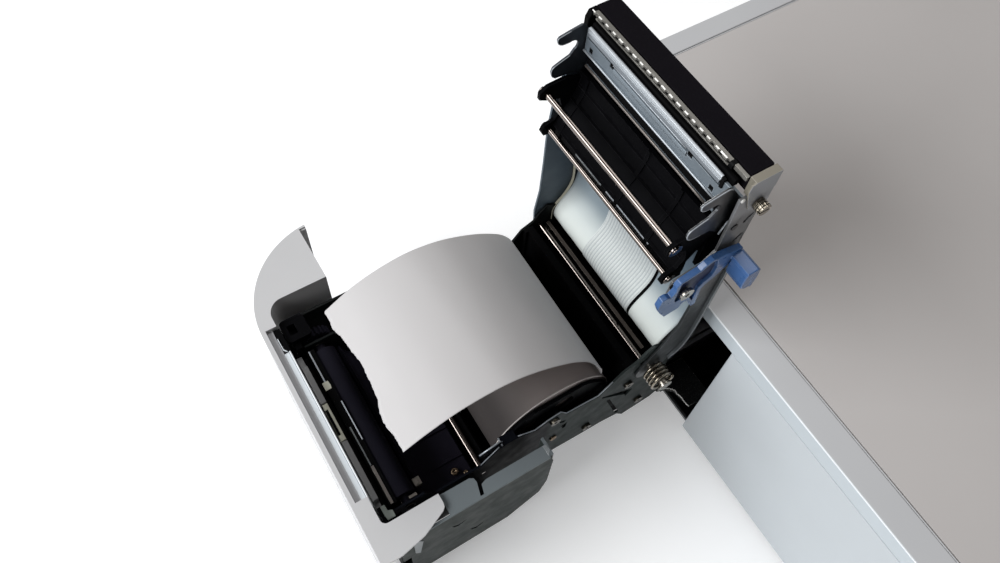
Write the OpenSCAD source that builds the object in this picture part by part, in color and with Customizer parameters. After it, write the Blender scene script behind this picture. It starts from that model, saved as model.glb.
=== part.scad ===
// Counter register with a pull-out ticket printer.
// The printer drawer stands out of its bay and its cover is swung up.
// Local layout: x = 0 is the printer's centre plane, y = 0 the drawer's front,
// z = 0 the counter. place() moves that layout to the bottom centre of the box.

/* [Housing] */
// Width of the housing
body_w = 330; // [320:1:360]
// Depth of the housing
body_d = 310; // [300:1:340]
// Height of the housing's top above the counter
top_z = 115; // [115:1:118]
// Height of the rubber feet
feet_h = 4; // [3.5:0.1:4]
// Wall thickness of the housing
wall = 3; // [2.6:0.1:3.2]
// Travel of the drawer from its open stop to the front face
travel = 184.3; // [184.3:0.1:190]
// Radius of the rounded front left corner
corner_r = 48; // [47:0.5:48]

/* [Printer] */
// Width of the paper
paper_w = 80; // [78:0.5:80]
// Outer radius of the paper roll
roll_r = 33; // [20:0.5:33]
// Radius of the platen rubber
platen_r = 6; // [5.5:0.1:6]
// Radius of the guide rods
rod_r = 1.5; // [1.2:0.1:1.6]
// Thickness of the sheet-metal side plates
plate_t = 1.2; // [1:0.1:1.2]
// Clear half width between the drawer's side plates
half_in = 45.3; // [45.3:0.1:45.4]
// Teeth of the platen gear
platen_teeth = 18; // [18:1:18]
// Teeth of the idler gear
idler_teeth = 30; // [30:1:30]
// Teeth of the motor pinion
pinion_teeth = 12; // [12:1:12]
// Module of the gears
gear_m = 0.8; // [0.8:0.01:0.8]

/* [Hidden] */
$fn = 48;

hx0 = -104.6;                 // left face of the housing
hx1 = hx0 + body_w;           // right face
hy0 = travel;                 // front face
hy1 = hy0 + body_d;           // rear face
hz0 = feet_h;                 // underside of the base plate
skirt = top_z - 11;           // lower edge of the top cover
bay_r = 66.8;                 // right edge of the bay opening
ox = (hx0 + hx1) / 2;
oy = hy1 / 2;
half_out = half_in + plate_t; // outer face of the drawer's side plates
cov_in = 46.8;                // inner face of the cover's side plates
cov_out = 48;                 // outer face of the cover's side plates
hinge_y = 156;
hinge_z = 84;
plat_y = 22.5;
plat_z = 78.5;
idl_y = 32.5;
idl_z = 62.1;
mot_y = 38.5;
mot_z = 46.4;
roll_y = 105;
roll_z = 65.6;
rod_a = [141, 199.2];
rod_b = [144.4, 175.6];
latch_y = 164.5;
latch_z = 202.3;
lev_y = 147.3;
lev_z = 173.8;
scr_y = 168.9;
scr_z = 216.8;
pad_y = 166.3;
gear_x0 = -53;
gear_x1 = -49;

// ---------- helpers ----------
module place() translate([-ox, -oy, 0]) children();
// profile drawn in (y, z), running from x0 to x1
module yz(x0, x1) translate([x0, 0, 0]) rotate([90, 0, 90]) linear_extrude(x1 - x0) children();
// profile drawn in (x, z), running from y0 to y1
module xz(y0, y1) translate([0, y1, 0]) rotate([90, 0, 0]) linear_extrude(y1 - y0) children();
// profile drawn in (x, y), running from z0 to z1
module xy(z0, z1) translate([0, 0, z0]) linear_extrude(z1 - z0) children();
module box(a, b) translate(a) cube(b - a);
module rodx(p, x0, x1, r) translate([x0, p[0], p[1]]) rotate([0, 90, 0]) cylinder(h = x1 - x0, r = r);
module rody(x, z, y0, y1, r) translate([x, y1, z]) rotate([90, 0, 0]) cylinder(h = y1 - y0, r = r);
module rodz(x, y, z0, z1, r) translate([x, y, z0]) cylinder(h = z1 - z0, r = r);
module both() { children(); mirror([1, 0, 0]) children(); }
module rrect(x0, y0, x1, y1, r) {
    translate([x0 + r, y0 + r]) circle(r);
    translate([x1 - r, y0 + r]) circle(r);
    translate([x0 + r, y1 - r]) circle(r);
    translate([x1 - r, y1 - r]) circle(r);
    translate([x0 + r, y0]) square([x1 - x0 - 2 * r, y1 - y0]);
    translate([x0, y0 + r]) square([x1 - x0, y1 - y0 - 2 * r]);
}
// gear outline with straight-flanked teeth; a tooth is centred at angle a0
module gear2d(n, m, a0) {
    rp = n * m / 2;
    ra = rp + 0.75 * m;
    rr = rp - 1.1 * m;
    q = 360 / n;
    polygon([for (i = [0 : n - 1]) for (k = [[-0.32, rr], [-0.225, rp], [-0.1, ra], [0.1, ra], [0.225, rp], [0.32, rr]])
        [k[1] * cos(a0 + (i + k[0]) * q), k[1] * sin(a0 + (i + k[0]) * q)]]);
}
// round wire along x: a coil of given mean radius
function ring_pt(R, a, x, r, b) = [x + r * sin(b), (R + r * cos(b)) * cos(a), (R + r * cos(b)) * sin(a)];
module coil(R, r, x0, pitch, turns, seg = 20, sides = 8) {
    n = floor(seg * turns);
    pts = [for (i = [0 : n]) for (j = [0 : sides - 1])
        ring_pt(R, i * 360 / seg, x0 + pitch * i / seg, r, j * 360 / sides)];
    faces = concat(
        [for (i = [0 : n - 1]) for (j = [0 : sides - 1])
            [i * sides + j, (i + 1) * sides + j, (i + 1) * sides + (j + 1) % sides, i * sides + (j + 1) % sides]],
        [[for (j = [0 : sides - 1]) j]],
        [[for (j = [0 : sides - 1]) n * sides + sides - 1 - j]]);
    polyhedron(points = pts, faces = faces, convexity = 8);
}

// ---------- housing ----------
module housing_outline(inset = 0) {
    r = corner_r - inset;
    translate([hx0 + corner_r, hy0 + corner_r]) circle(r, $fn = 96);
    translate([hx0 + corner_r, hy0 + inset]) square([body_w - corner_r - inset, body_d - 2 * inset]);
    translate([hx0 + inset, hy0 + corner_r]) square([body_w - 2 * inset, body_d - corner_r - inset]);
}
module base_plate() place() color([0.30, 0.31, 0.32]) {
    difference() {
        union() {
            box([hx0 + wall + 0.4, hy0 + 48, hz0], [hx1 - wall - 0.4, hy1 - wall - 0.4, hz0 + 2]);
            box([-60, hy0 + wall + 0.4, hz0], [hx1 - wall - 0.4, hy0 + 48, hz0 + 2]);
        }
        // counter fixing holes
        for (x = [ox - 147, ox + 153], y = [hy0 + 80, hy0 + 240]) rodz(x, y, hz0 - 1, hz0 + 3, 2.25);
        // ventilation slots
        for (i = [0 : 8]) box([110 + 9 * i, hy0 + 180, hz0 - 1], [113 + 9 * i, hy0 + 230, hz0 + 3]);
    }
}
module side_shell() place() color([0.86, 0.87, 0.88]) difference() {
    union() {
        box([hx0, hy0 + 46, hz0], [hx0 + wall, hy1, skirt - 0.2]);
        box([hx0, hy1 - wall, hz0], [hx1, hy1, skirt - 0.2]);
        box([hx1 - wall, hy0 + wall + 0.2, hz0], [hx1, hy1, skirt - 0.2]);
        // corner posts for the top cover's screws
        for (x = [hx0 + 7, hx1 - 7], y = [hy1 - 7, hy0 + 70]) rodz(x, y, hz0 + 2.2, skirt - 0.2, 4.5);
    }
    // socket cut-outs in the rear wall
    box([120, hy1 - wall - 1, 24], [149, hy1 + 1, 46]);
    for (i = [0 : 3]) box([20 + 22 * i, hy1 - wall - 1, 16], [36 + 22 * i, hy1 + 1, 30]);
    // louvres
    for (i = [0 : 7]) box([165 + 6 * i, hy1 - wall - 1, 40], [168 + 6 * i, hy1 + 1, 80]);
}
module front_panel() place() color([0.86, 0.87, 0.88]) {
    box([bay_r, hy0, hz0], [hx1, hy0 + wall, skirt - 0.2]);
    box([bay_r, hy0 + wall, 8.6], [bay_r + 2, hy0 + 14, skirt - 0.2]);
}
module top_cover() place() color([0.82, 0.82, 0.81]) difference() {
    xy(skirt, top_z) housing_outline(0);
    xy(skirt - 1, top_z - 4.5) housing_outline(wall);
    xy(top_z - 5, top_z - 3) translate([hx0 + 17, hy0 + 19]) square([body_w - 34, body_d - 38]);
    xy(top_z - 3, top_z + 1) rrect(hx0 + 12.8, hy0 + 14.6, hx1 - 12.8, hy1 - 14.6, 3);
}
module top_panel() place() color([0.80, 0.79, 0.78]) difference() {
    union() {
        xy(top_z - 2.8, top_z - 1.1) rrect(hx0 + 13.2, hy0 + 15, hx1 - 13.2, hy1 - 15, 2.6);
        xy(top_z - 1.4, top_z) rrect(hx0 + 14.3, hy0 + 16.1, hx1 - 14.3, hy1 - 16.1, 2.2);
    }
}
module bay_liner() place() color([0.10, 0.10, 0.11]) difference() {
    union() {
        box([-71, hy0 + 4, 7], [70.2, hy0 + 206, 8.2]);
        box([-71, hy0 + 4, 7], [-69.8, hy0 + 206, skirt - 4]);
        box([69, hy0 + 15, 7], [70.2, hy0 + 206, skirt - 4]);
        box([-71, hy0 + 204.8, 7], [70.2, hy0 + 206, skirt - 4]);
        // pressed feet under the floor
        for (x = [-58, 58], y = [hy0 + 20, hy0 + 190]) rodz(x, y, hz0 + 2, 7.2, 5);
    }
    box([-30, hy0 + 203, 30], [30, hy0 + 208, 60]);
}
module rubber_feet() place() color([0.07, 0.07, 0.07])
    for (p = [[-46, hy0 + 18], [hx1 - 22, hy0 + 18], [hx0 + 22, hy1 - 24], [hx1 - 22, hy1 - 24]])
        difference() {
            rodz(p[0], p[1], 0, hz0, 9);
            rodz(p[0], p[1], -1, 1.6, 3.4);
        }
module housing_screws() place() color([0.62, 0.62, 0.64]) {
    for (x = [hx0 + 60, hx1 - 60, ox], y = [hy1 - 20])
        difference() { rodz(x, y, hz0 - 1.4, hz0, 3.2); rodz(x, y, hz0 - 1.6, hz0 - 0.8, 1.3, $fn = 6); }
    for (x = [hx0 + 14, 100, hx1 - 14]) difference() {
        rodz(x, hy0 + 120, hz0 - 1.4, hz0, 3.2);
        rodz(x, hy0 + 120, hz0 - 1.6, hz0 - 0.8, 1.3, $fn = 6);
    }
}
module main_board() place() color([0.10, 0.38, 0.20]) {
    difference() {
        box([80, hy0 + 150, 16], [210, hy0 + 292, 17.6]);
        for (x = [86, 204], y = [hy0 + 156, hy0 + 286]) rodz(x, y, 15, 19, 1.7);
    }
    box([100, hy0 + 190, 17.6], [128, hy0 + 218, 19.4]);
    box([140, hy0 + 180, 17.6], [154, hy0 + 200, 19.2]);
    box([170, hy0 + 176, 17.6], [176, hy0 + 240, 22]);
    for (i = [0 : 3]) rodz(100 + 11 * i, hy0 + 240, 17.6, 29, 4.2);
    box([84, hy0 + 168, 17.6], [90, hy0 + 200, 24]);
}
module board_standoffs() place() color([0.75, 0.68, 0.40])
    for (x = [86, 204], y = [hy0 + 156, hy0 + 286]) {
        rodz(x, y, hz0 + 2, 16, 3);
        rodz(x, y, 16, 17.6, 1.6);
        rodz(x, y, 17.6, 19.2, 2.7);
    }
module power_supply() place() color([0.66, 0.67, 0.69]) {
    difference() {
        box([84, hy0 + 20, hz0 + 2], [200, hy0 + 112, 46]);
        box([85.2, hy0 + 21.2, hz0 + 3.2], [198.8, hy0 + 110.8, 44.8]);
        for (i = [0 : 9], j = [0 : 3]) rodz(100 + 9 * i, hy0 + 42 + 14 * j, 44, 47, 2.6);
        box([83, hy0 + 92, 14], [86, hy0 + 106, 24]);
    }
    box([90, hy0 + 30, hz0 + 3.2], [194, hy0 + 100, 9]);
    box([104, hy0 + 40, 9], [134, hy0 + 70, 34]);
    rodz(160, hy0 + 60, 9, 38, 9);
    rodz(184, hy0 + 60, 9, 38, 9);
}
module io_sockets() place() color([0.12, 0.12, 0.13]) {
    // mains inlet
    difference() {
        box([120.4, hy1 - 22, 24.4], [148.6, hy1 - 0.4, 45.6]);
        box([123, hy1 - 17, 27], [146, hy1 + 1, 43]);
    }
    for (dx = [-6, 0, 6]) box([134 + dx, hy1 - 18, dx == 0 ? 37 : 31], [135.4 + dx, hy1 - 6, dx == 0 ? 41 : 35]);
    // four data sockets
    for (i = [0 : 3]) difference() {
        box([20.4 + 22 * i, hy1 - 18, 16.4], [35.6 + 22 * i, hy1 - 0.4, 29.6]);
        box([22.2 + 22 * i, hy1 - 14, 18.2], [33.8 + 22 * i, hy1 + 1, 26]);
        box([25.5 + 22 * i, hy1 - 14, 25.8], [30.5 + 22 * i, hy1 + 1, 28.2]);
    }
}

// ---------- telescopic slides ----------
module slide_outer() place() color([0.55, 0.56, 0.58]) for (s = [-1, 1]) translate([24 * s, 0, 0]) difference() {
    box([-8, hy0 + 5.7, 8.2], [8, hy0 + 200.7, 17]);
    box([-6.8, hy0 + 4, 9.4], [6.8, hy0 + 202, 14]);
    box([-5.4, hy0 + 4, 13], [5.4, hy0 + 202, 18]);
}
module slide_middle() place() color([0.60, 0.61, 0.63]) for (s = [-1, 1]) translate([24 * s, 0, 0]) difference() {
    union() {
        box([-6.4, hy0 - 86.3, 9.8], [6.4, hy0 + 108.7, 13.6]);
        box([-5, hy0 - 86.3, 9.8], [5, hy0 + 108.7, 18.6]);
    }
    box([-3.8, hy0 - 88, 11], [3.8, hy0 + 110, 16]);
    box([-2.6, hy0 - 88, 15], [2.6, hy0 + 110, 20]);
}
module slide_inner() place() color([0.64, 0.65, 0.67]) for (s = [-1, 1]) translate([24 * s, 0, 0]) {
    box([-3.4, hy0 - 178.3, 11.4], [3.4, hy0 + 16.7, 15.6]);
    box([-2.2, hy0 - 178.3, 15.6], [2.2, hy0 + 16.7, 20.2]);
    box([-8, hy0 - 174, 20.2], [8, hy0 - 20, 22]);
}

// ---------- drawer ----------
module fascia_outer(inset = 0) {
    r = corner_r - inset;
    intersection() {
        union() {
            translate([hx0 + corner_r, corner_r]) circle(r, $fn = 96);
            translate([hx0 + corner_r, inset]) square([66.7 - inset - hx0 - corner_r, 60]);
        }
        polygon([[-110, -1], [67, -1], [67, 8], [64.3 - inset / 2, 21.5], [60.2 - inset / 2, 31.2], [59.3 - inset / 2, 33.2], [58 - inset / 2, 34.6],
            [56.2 - inset / 2, 35], [51.6, 35], [51.6, 43.8], [-110, 43.8]]);
    }
}
module fascia() place() color([0.80, 0.80, 0.80]) difference() {
    union() {
        // top rim
        xy(92.2, 94) difference() {
            fascia_outer(0);
            translate([-71, 8]) { translate([8, 8]) circle(8); translate([8, 0]) square([111.8, 60]); translate([0, 8]) square([122.6, 60]);
                translate([119.8, 2.8]) circle(2.8); translate([100, 2.8]) square([22.6, 20]); }
            translate([-103, 40.3]) square([18.4, 10]);
            translate([-84.7, 40.3]) square([20, 10]);
        }
        // outer skirt
        xy(6, 93) difference() {
            fascia_outer(0);
            fascia_outer(2.4);
            translate([-102.2, 38]) square([120, 20]);
            translate([50, 2.4]) square([30, 60]);
        }
        // inner wall of the left wing
        box([-73.2, 12, 46], [-71, 40.3, 93]);
        xy(46, 93) difference() { translate([-63, 16]) circle(10.2); translate([-63, 16]) circle(8); translate([-63, 0]) square(60); translate([-80, 16]) square(60); }
        // cross web behind the front
        box([-56, 2, 40], [52, 4, 70]);
        // rear wall of the wing
        box([-102.4, 38.2, 40], [-84.7, 40.3, 93]);
        // wall beside the right opening
        box([51.6, 8, 58], [53.4, 34.8, 93]);
        // ribs between front and tray
        for (x = [-50, -20, 10, 40]) box([x, 4, 46], [x + 1.6, 9.8, 57.5]);
    }
    // recess along the front rim
    box([-58, 2.3, 90.4], [37, 9, 95]);
}
module fascia_insert() place() color([0.86, 0.89, 0.91]) {
    box([-57.6, 2.6, 84], [36.6, 7.4, 91.8]);
    box([-57.6, 7.4, 84], [36.6, 7.9, 93]);
}
module tray() place() color([0.27, 0.30, 0.29]) difference() {
    union() {
        // near wall
        yz(61.6, 62.8) polygon([[10, 22], [68, 22], [86, 37], [89, 52], [89, 84], [86.5, 92], [10, 92]]);
        // far wall
        yz(-62.8, -61.6) polygon([[10, 22], [68, 22], [86, 37], [89, 52], [89, 80], [86.5, 86], [12, 86]]);
        // floor and front wall
        box([-62.8, 10, 22], [62.8, 68, 23.2]);
        box([-62.8, 10, 22], [62.8, 11.2, 58]);
        // turned-in flanges
        xy(90.8, 92) polygon([[56.3, 56.4], [57.2, 53.8], [62.8, 52.2], [62.8, 86.6], [60, 88.4], [56.4, 88.4]]);
        xy(90.8, 92) polygon([[52, 35.2], [62.8, 35.2], [62.8, 50.4], [59.6, 51.2], [55.4, 52.4], [53.2, 52], [52.2, 50.2]]);
        // rear return
        box([53, 87.6, 40], [62, 88.8, 92]);
    }
    // lanced slots
    yz(60, 64) polygon([[34.9, 73], [36.4, 69.4], [38.6, 67.2], [41.2, 68.4], [43.4, 70.8], [41, 69.9], [39, 69.6], [37.2, 71.2]]);
    yz(60, 64) polygon([[44.8, 46.8], [46.4, 42.8], [48.6, 40.3], [51.4, 42.4], [53.3, 45.6], [51, 43.9], [49, 43.1], [47.2, 44.6]]);
    yz(60, 64) polygon([[17.4, 68], [17.4, 84], [19.8, 78.6], [19.2, 66]]);
    box([60, 10, 48], [64, 14, 60]);
    // floor openings
    for (x = [-50, 34]) box([x, 24, 21], [x + 16, 54, 24]);
}
module side_profile() polygon([[15.4, 40], [15.4, 85], [31, 85], [36, 76], [60, 76], [70, 88], [80, 88], [90, 82],
    [97, 85.5], [104, 87], [108, 80], [118, 79], [127, 77.8], [134, 86.8], [139, 93.7], [146, 97], [150, 103],
    [154, 106.5], [160, 103], [165, 94], [169, 82], [172, 60], [175, 40], [175, 25], [171.6, 21.6], [153, 18.6],
    [148, 26], [137, 28.5], [119, 29], [107, 30], [60, 23.2], [30, 23.2]]);
module plate_bores(x0, x1) {
    rodx([plat_y, plat_z], x0, x1, 3.5);
    rodx([hinge_y, hinge_z], x0, x1, 2.5);
    rodx([62, 62], x0, x1, rod_r + 0.05);
    rodx([150, 92.8], x0, x1, rod_r + 0.05);
}
module side_plate_right() place() color([0.28, 0.31, 0.30]) difference() {
    union() {
        yz(half_in, half_out) side_profile();
        // inward tab
        box([41.8, 71.6, 87], [half_out, 79.5, 88.2]);
        // outward tab that carries the spring
        box([half_out - 0.1, 163, 58], [half_out + 9, 164.2, 64]);
    }
    plate_bores(half_in - 1, half_out + 1);
    // diagonal lanced slot and slit
    yz(40, 50) polygon([[129.4, 73.6], [151, 58.8], [151.6, 57.2], [148.3, 51.6], [147.2, 55.8], [130.2, 71.4]]);
    yz(40, 50) polygon([[134.2, 63.4], [136.5, 62.4], [148.6, 29], [146.4, 29]]);
    // two small hooks near the front screw
    yz(40, 50) polygon([[104.6, 74], [108.8, 71.4], [107.8, 69.6], [105.2, 71]]);
    yz(40, 50) polygon([[105.4, 64.6], [109.9, 67], [109.6, 60.2], [107.4, 59.8], [107.6, 63.4]]);
}
module side_plate_left() place() color([0.28, 0.31, 0.30]) difference() {
    union() {
        yz(-half_out, -half_in) side_profile();
        box([-half_out, 71.6, 87], [-41.8, 79.5, 88.2]);
    }
    plate_bores(-half_out - 1, -half_in + 1);
    rodx([mot_y, mot_z], -half_out - 1, -half_in + 1, 4.2);
    rodx([idl_y, idl_z], -half_out - 1, -half_in + 1, 1.5);
}
module bucket() place() color([0.05, 0.05, 0.06]) difference() {
    union() {
        intersection() { rodx([104, 70], -45, 45, 41); box([-45, 60, 20], [45, 150, 70]); }
        box([-45, 64, 40], [45, 68, 61]);
        box([-45, 140, 50], [45, 145.2, 95]);
        for (x = [-30, 0, 30]) box([x - 1, 140, 30], [x + 1, 145.8, 88]);
        box([-45, 66, 25.5], [45, 142, 29.5]);
    }
    rodx([104, 70], -42.6, 42.6, 38);
    box([-42.6, 66.4, 61], [42.6, 141.6, 110]);
    box([-46, 60, 61], [46, 100, 80]);
    for (i = [0 : 5]) box([-36 + 13 * i, 98, 20], [-30 + 13 * i, 112, 40]);
}
module front_guide() place() color([0.06, 0.06, 0.09]) {
    yz(-43.4, 43.4) polygon([[29.6, 57.2], [29.6, 73], [31, 75], [33.2, 66], [37, 61.4], [58.6, 60], [58.6, 57.2]]);
    for (x = [-32, -16, 0, 16, 32]) yz(x - 0.8, x + 0.8) polygon([[37, 61], [50, 62], [58.6, 60.8], [58.6, 59], [37, 59]]);
}
module front_frame() place() color([0.07, 0.07, 0.08]) {
    box([-45, 12.4, 30], [45, 14.8, 66]);
    box([-43.2, 12.4, 60], [43.2, 14.8, 78]);
    box([-45, 12.4, 30], [45, 61, 33]);
    box([-45, 14.8, 52], [45, 20, 54]);
    for (x = [-20, 0, 20, 36]) box([x, 14.8, 33], [x + 1.6, 56, 40]);
}
module exit_segments() place() color([0.30, 0.30, 0.31]) {
    difference() {
        box([-44.6, 9.4, 62], [-14.6, 12.2, 86]);
        box([-46, 8, 79.8], [-36, 13, 90]);
    }
    difference() {
        box([6.6, 9.4, 62], [41.4, 12.2, 86]);
        box([38, 8, 80], [44, 13, 90]);
    }
}
module paper_sensor() place() color([0.74, 0.76, 0.68]) {
    difference() {
        box([-14.2, 9.6, 70], [6.2, 12.2, 85.6]);
        box([-11, 9, 80], [3, 11, 87]);
    }
}
module fixed_blade() place() color([0.80, 0.81, 0.83]) {
    yz(-43.2, 43.2) polygon([[15, 54.2], [15, 83.4], [15.3, 84], [16, 82.6], [16, 54.2]]);
}
module end_blocks() place() color([0.05, 0.05, 0.06]) {
    // right block
    difference() {
        union() {
            xy(58.2, 86.4) rrect(46.9, 9.3, 51.3, 21, 1.6);
            box([45.6, 9.3, 58.2], [48, 14.6, 86.4]);
            box([41.8, 9.3, 62], [47, 10.9, 86.4]);
        }
        box([48.4, 13, 82], [50, 18, 88]);
    }
    // left block
    difference() {
        union() {
            xy(58.2, 90) rrect(-61.2, 9.3, -48.6, 21.6, 2);
            box([-50, 11.4, 58.2], [-45.4, 14.6, 86.4]);
        }
        box([-57.5, 12, 84], [-52, 16, 92]);
        // room for the gears
        rodx([plat_y, plat_z], gear_x0 - 1, -44, 9);
        rodx([idl_y, idl_z], gear_x0 - 1, -44, 13.6);
    }
}
module rear_guide() place() color([0.05, 0.05, 0.06]) difference() {
    box([-45, 146, 40], [45, 165.4, 86.6]);
    rodx([hinge_y, hinge_z], -46, -41, 4);
    rodx([hinge_y, hinge_z], 41, 46, 4);
    box([-42, 149, 38], [42, 162, 78]);
    box([-46, 146, 85], [46, 153.4, 90]);
}
module rear_link() place() color([0.04, 0.04, 0.04]) {
    box([38, 166, 24], [45.2, 178, 34]);
    xy(24, 26) polygon([[38, 175.4], [47, 175.4], [49, 180.6], [52, 183.6], [58, 184.6], [63.4, 185.6], [64, 200], [38, 200]]);
}
module roll_guides() place() color([0.06, 0.06, 0.07]) both() difference() {
    yz(40.5, 42.3) intersection() {
        translate([roll_y, roll_z]) circle(31.5);
        translate([60, 20]) square([100, 74]);
    }
    for (a = [20 : 60 : 350]) yz(40, 43) translate([roll_y + 19 * cos(a), roll_z + 19 * sin(a)]) circle(5.5);
    yz(40, 43) translate([roll_y, roll_z]) circle(6);
}
module feed_motor() place() color([0.55, 0.56, 0.58]) {
    difference() {
        rodx([mot_y, mot_z], -44.9, -28, 9.6);
        rodx([mot_y, mot_z], -46, -30, 1.1);
    }
    box([-43, mot_y + 9, mot_z - 4], [-33, mot_y + 12, mot_z + 4]);
}

// ---------- gears: each mesh has a tooth of one facing a gap of the next ----------
a12 = atan2(idl_z - plat_z, idl_y - plat_y);
a23 = atan2(mot_z - idl_z, mot_y - idl_y);
idler_a0 = a12 + 180 + 180 / idler_teeth;
slip = (a23 - idler_a0) - 360 / idler_teeth * floor((a23 - idler_a0) / (360 / idler_teeth));
pinion_a0 = a23 + 180 + slip * idler_teeth / pinion_teeth + 180 / pinion_teeth;
module motor_pinion() place() color([0.72, 0.62, 0.34]) {
    yz(gear_x0, gear_x1) translate([mot_y, mot_z]) gear2d(pinion_teeth, gear_m, pinion_a0);
    rodx([mot_y, mot_z], -52, -32, 1);
}
module idler_gear() place() color([0.90, 0.90, 0.86]) difference() {
    union() {
        yz(gear_x0, gear_x1) translate([idl_y, idl_z]) gear2d(idler_teeth, gear_m, idler_a0);
        rodx([idl_y, idl_z], gear_x0, -47.2, 3.4);
    }
    rodx([idl_y, idl_z], gear_x0 - 1, -46, 1.56);
    for (a = [0 : 72 : 300]) yz(gear_x0 - 1, gear_x1 + 1) translate([idl_y + 7 * cos(a), idl_z + 7 * sin(a)]) circle(2);
}
module platen_roller() place() {
    color([0.04, 0.04, 0.05]) rodx([plat_y, plat_z], -41.2, 41.2, platen_r);
    color([0.7, 0.7, 0.72]) rodx([plat_y, plat_z], gear_x0 - 0.5, 46.4, 2.5);
    color([0.90, 0.90, 0.86]) yz(gear_x0, gear_x1) translate([plat_y, plat_z]) gear2d(platen_teeth, gear_m, a12);
}
module front_shaft() place() color([0.75, 0.74, 0.73]) rodx([62, 62], -46.3, 46.3, rod_r);
module rear_shaft() place() color([0.75, 0.74, 0.73]) rodx([150, 92.8], -46.3, 46.3, rod_r);
module hinge_pins() place() color([0.62, 0.62, 0.64]) {
    rodx([hinge_y, hinge_z], 42, 59.5, 2.5);
    rodx([hinge_y, hinge_z], 58.6, 59.8, 3.6);
    rodx([hinge_y, hinge_z], -48.8, -42, 2.5);
    rodx([hinge_y, hinge_z], -49.6, -48.4, 3.8);
}
module platen_bushes() place() color([0.72, 0.62, 0.34]) {
    for (x = [[half_in - 0.1, half_out + 0.1], [-half_out - 0.1, -half_in + 0.1]]) difference() {
        rodx([plat_y, plat_z], x[0], x[1], 3.5);
        rodx([plat_y, plat_z], x[0] - 1, x[1] + 1, 2.55);
    }
}
module hinge_spring() place() color([0.72, 0.70, 0.67])
    translate([0, hinge_y, hinge_z]) coil(5.6, 0.8, 49.6, 2, 4, 16, 6);
module module_screws() place() color([0.66, 0.65, 0.63])
    for (p = [[100.3, 82.4, 46.5], [145.3, 72.5, 46.5], [125, 40, 46.5], [160, 34, 46.5]]) {
        difference() {
            rodx([p[0], p[1]], p[2], p[2] + 1.6, 2.6);
            rodx([p[0], p[1]], p[2] + 0.8, p[2] + 2, 1, $fn = 6);
        }
        // shoulder screw that carries the idler
        rodx([idl_y, idl_z], -53.6, -45.4, 1.5);
        rodx([idl_y, idl_z], -54.4, -53.3, 2.4);
    }

// ---------- paper ----------
module paper_roll() place() {
    color([0.95, 0.95, 0.95]) difference() {
        rodx([roll_y, roll_z], -paper_w / 2, paper_w / 2, roll_r);
        rodx([roll_y, roll_z], -paper_w / 2 - 1, paper_w / 2 + 1, 6.2);
    }
}
leader = [[131.6, 87.4], [130.4, 92], [129, 98], [126, 105.5], [121, 112.5], [114, 119.5], [105, 126], [95, 131.5],
    [84, 135.8], [72, 138.6], [60, 139.2], [48, 137], [38, 132.6], [31, 128]];
function off(i) = let (a = leader[max(i - 1, 0)], b = leader[min(i + 1, len(leader) - 1)], d = b - a, n = norm(d))
    [leader[i][0] + 0.25 * d[1] / n, leader[i][1] - 0.25 * d[0] / n];
module paper_leader() place() color([0.93, 0.93, 0.94]) yz(-paper_w / 2, paper_w / 2)
    polygon(concat(leader, [for (i = [len(leader) - 1 : -1 : 0]) leader[i] - (off(i) - leader[i]) * 2]));

// ---------- cover, swung up ----------
module cover_back() place() color([0.58, 0.63, 0.67]) difference() {
    union() {
        box([-46.6, 172.8, 114], [46.6, 174, 222]);
        box([-45, 172.8, 97], [45, 174, 115]);
        box([-46.6, 165, 221], [46.6, 174, 222.2]);
        box([-43.4, 171.6, 97], [43.4, 172.8, 168]);
    }
    for (x = [-38, -15, 15, 38]) box([x - 3.5, 171, 206], [x + 3.5, 175, 214]);
}
module cover_plate_right() place() color([0.52, 0.53, 0.53]) difference() {
    yz(cov_in, cov_out) difference() {
        union() {
            translate([hinge_y, hinge_z]) circle(9);
            polygon([[148, 88], [163, 78], [171, 92], [174, 104], [174, 222], [160, 222], [160.6, 204], [161, 188],
                [156, 182], [142.4, 180], [142.4, 170], [150, 166], [160, 158], [163.5, 146], [162, 120], [156, 104]]);
        }
        for (p = [[170.8, 204, 54], [170.6, 190.6, 45]]) translate([p[0], p[1]]) rotate(p[2]) {
            for (e = [-1, 1]) translate([1.6 * e, 0]) circle(1.1);
            translate([-1.6, -1.1]) square([3.2, 2.2]);
        }
    }
    rodx([scr_y, scr_z], 46, 49, 1.5);
    rodx([hinge_y, hinge_z], 46, 49, 2.56);
    rodx([latch_y, latch_z], 46, 49, 1.56);
    rodx([lev_y, lev_z], 46, 49, 1.5);
}
module cover_plate_left() place() color([0.20, 0.23, 0.26]) difference() {
    yz(-cov_out, -cov_in) union() {
        translate([hinge_y, hinge_z]) circle(9);
        polygon([[148, 88], [163, 78], [171, 92], [174, 104], [174, 222], [160, 222], [160, 206], [150, 196],
            [148, 168], [148.6, 143], [148.7, 120], [147, 104]]);
    }
    rodx([hinge_y, hinge_z], -49, -46, 2.56);
    rodx([latch_y, latch_z], -49, -46, 1.56);
}
guide_front = [[146.9, 171.4], [147.1, 177], [150, 183.4], [154.2, 190], [157, 196.6], [158, 203]];
ear = [[160, 200.2], [150, 204], [141, 203.4], [137.4, 201], [137.4, 197.4], [141, 195.4], [148, 193], [150, 186],
    [147, 180], [141.6, 178.6], [140.4, 175.6], [142, 172.4], [147, 171.6]];
guide_inner = [[159.8, 203], [158.8, 196.2], [156, 189.2], [151.8, 182.4], [149, 176.4], [148.9, 173.2]];
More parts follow.
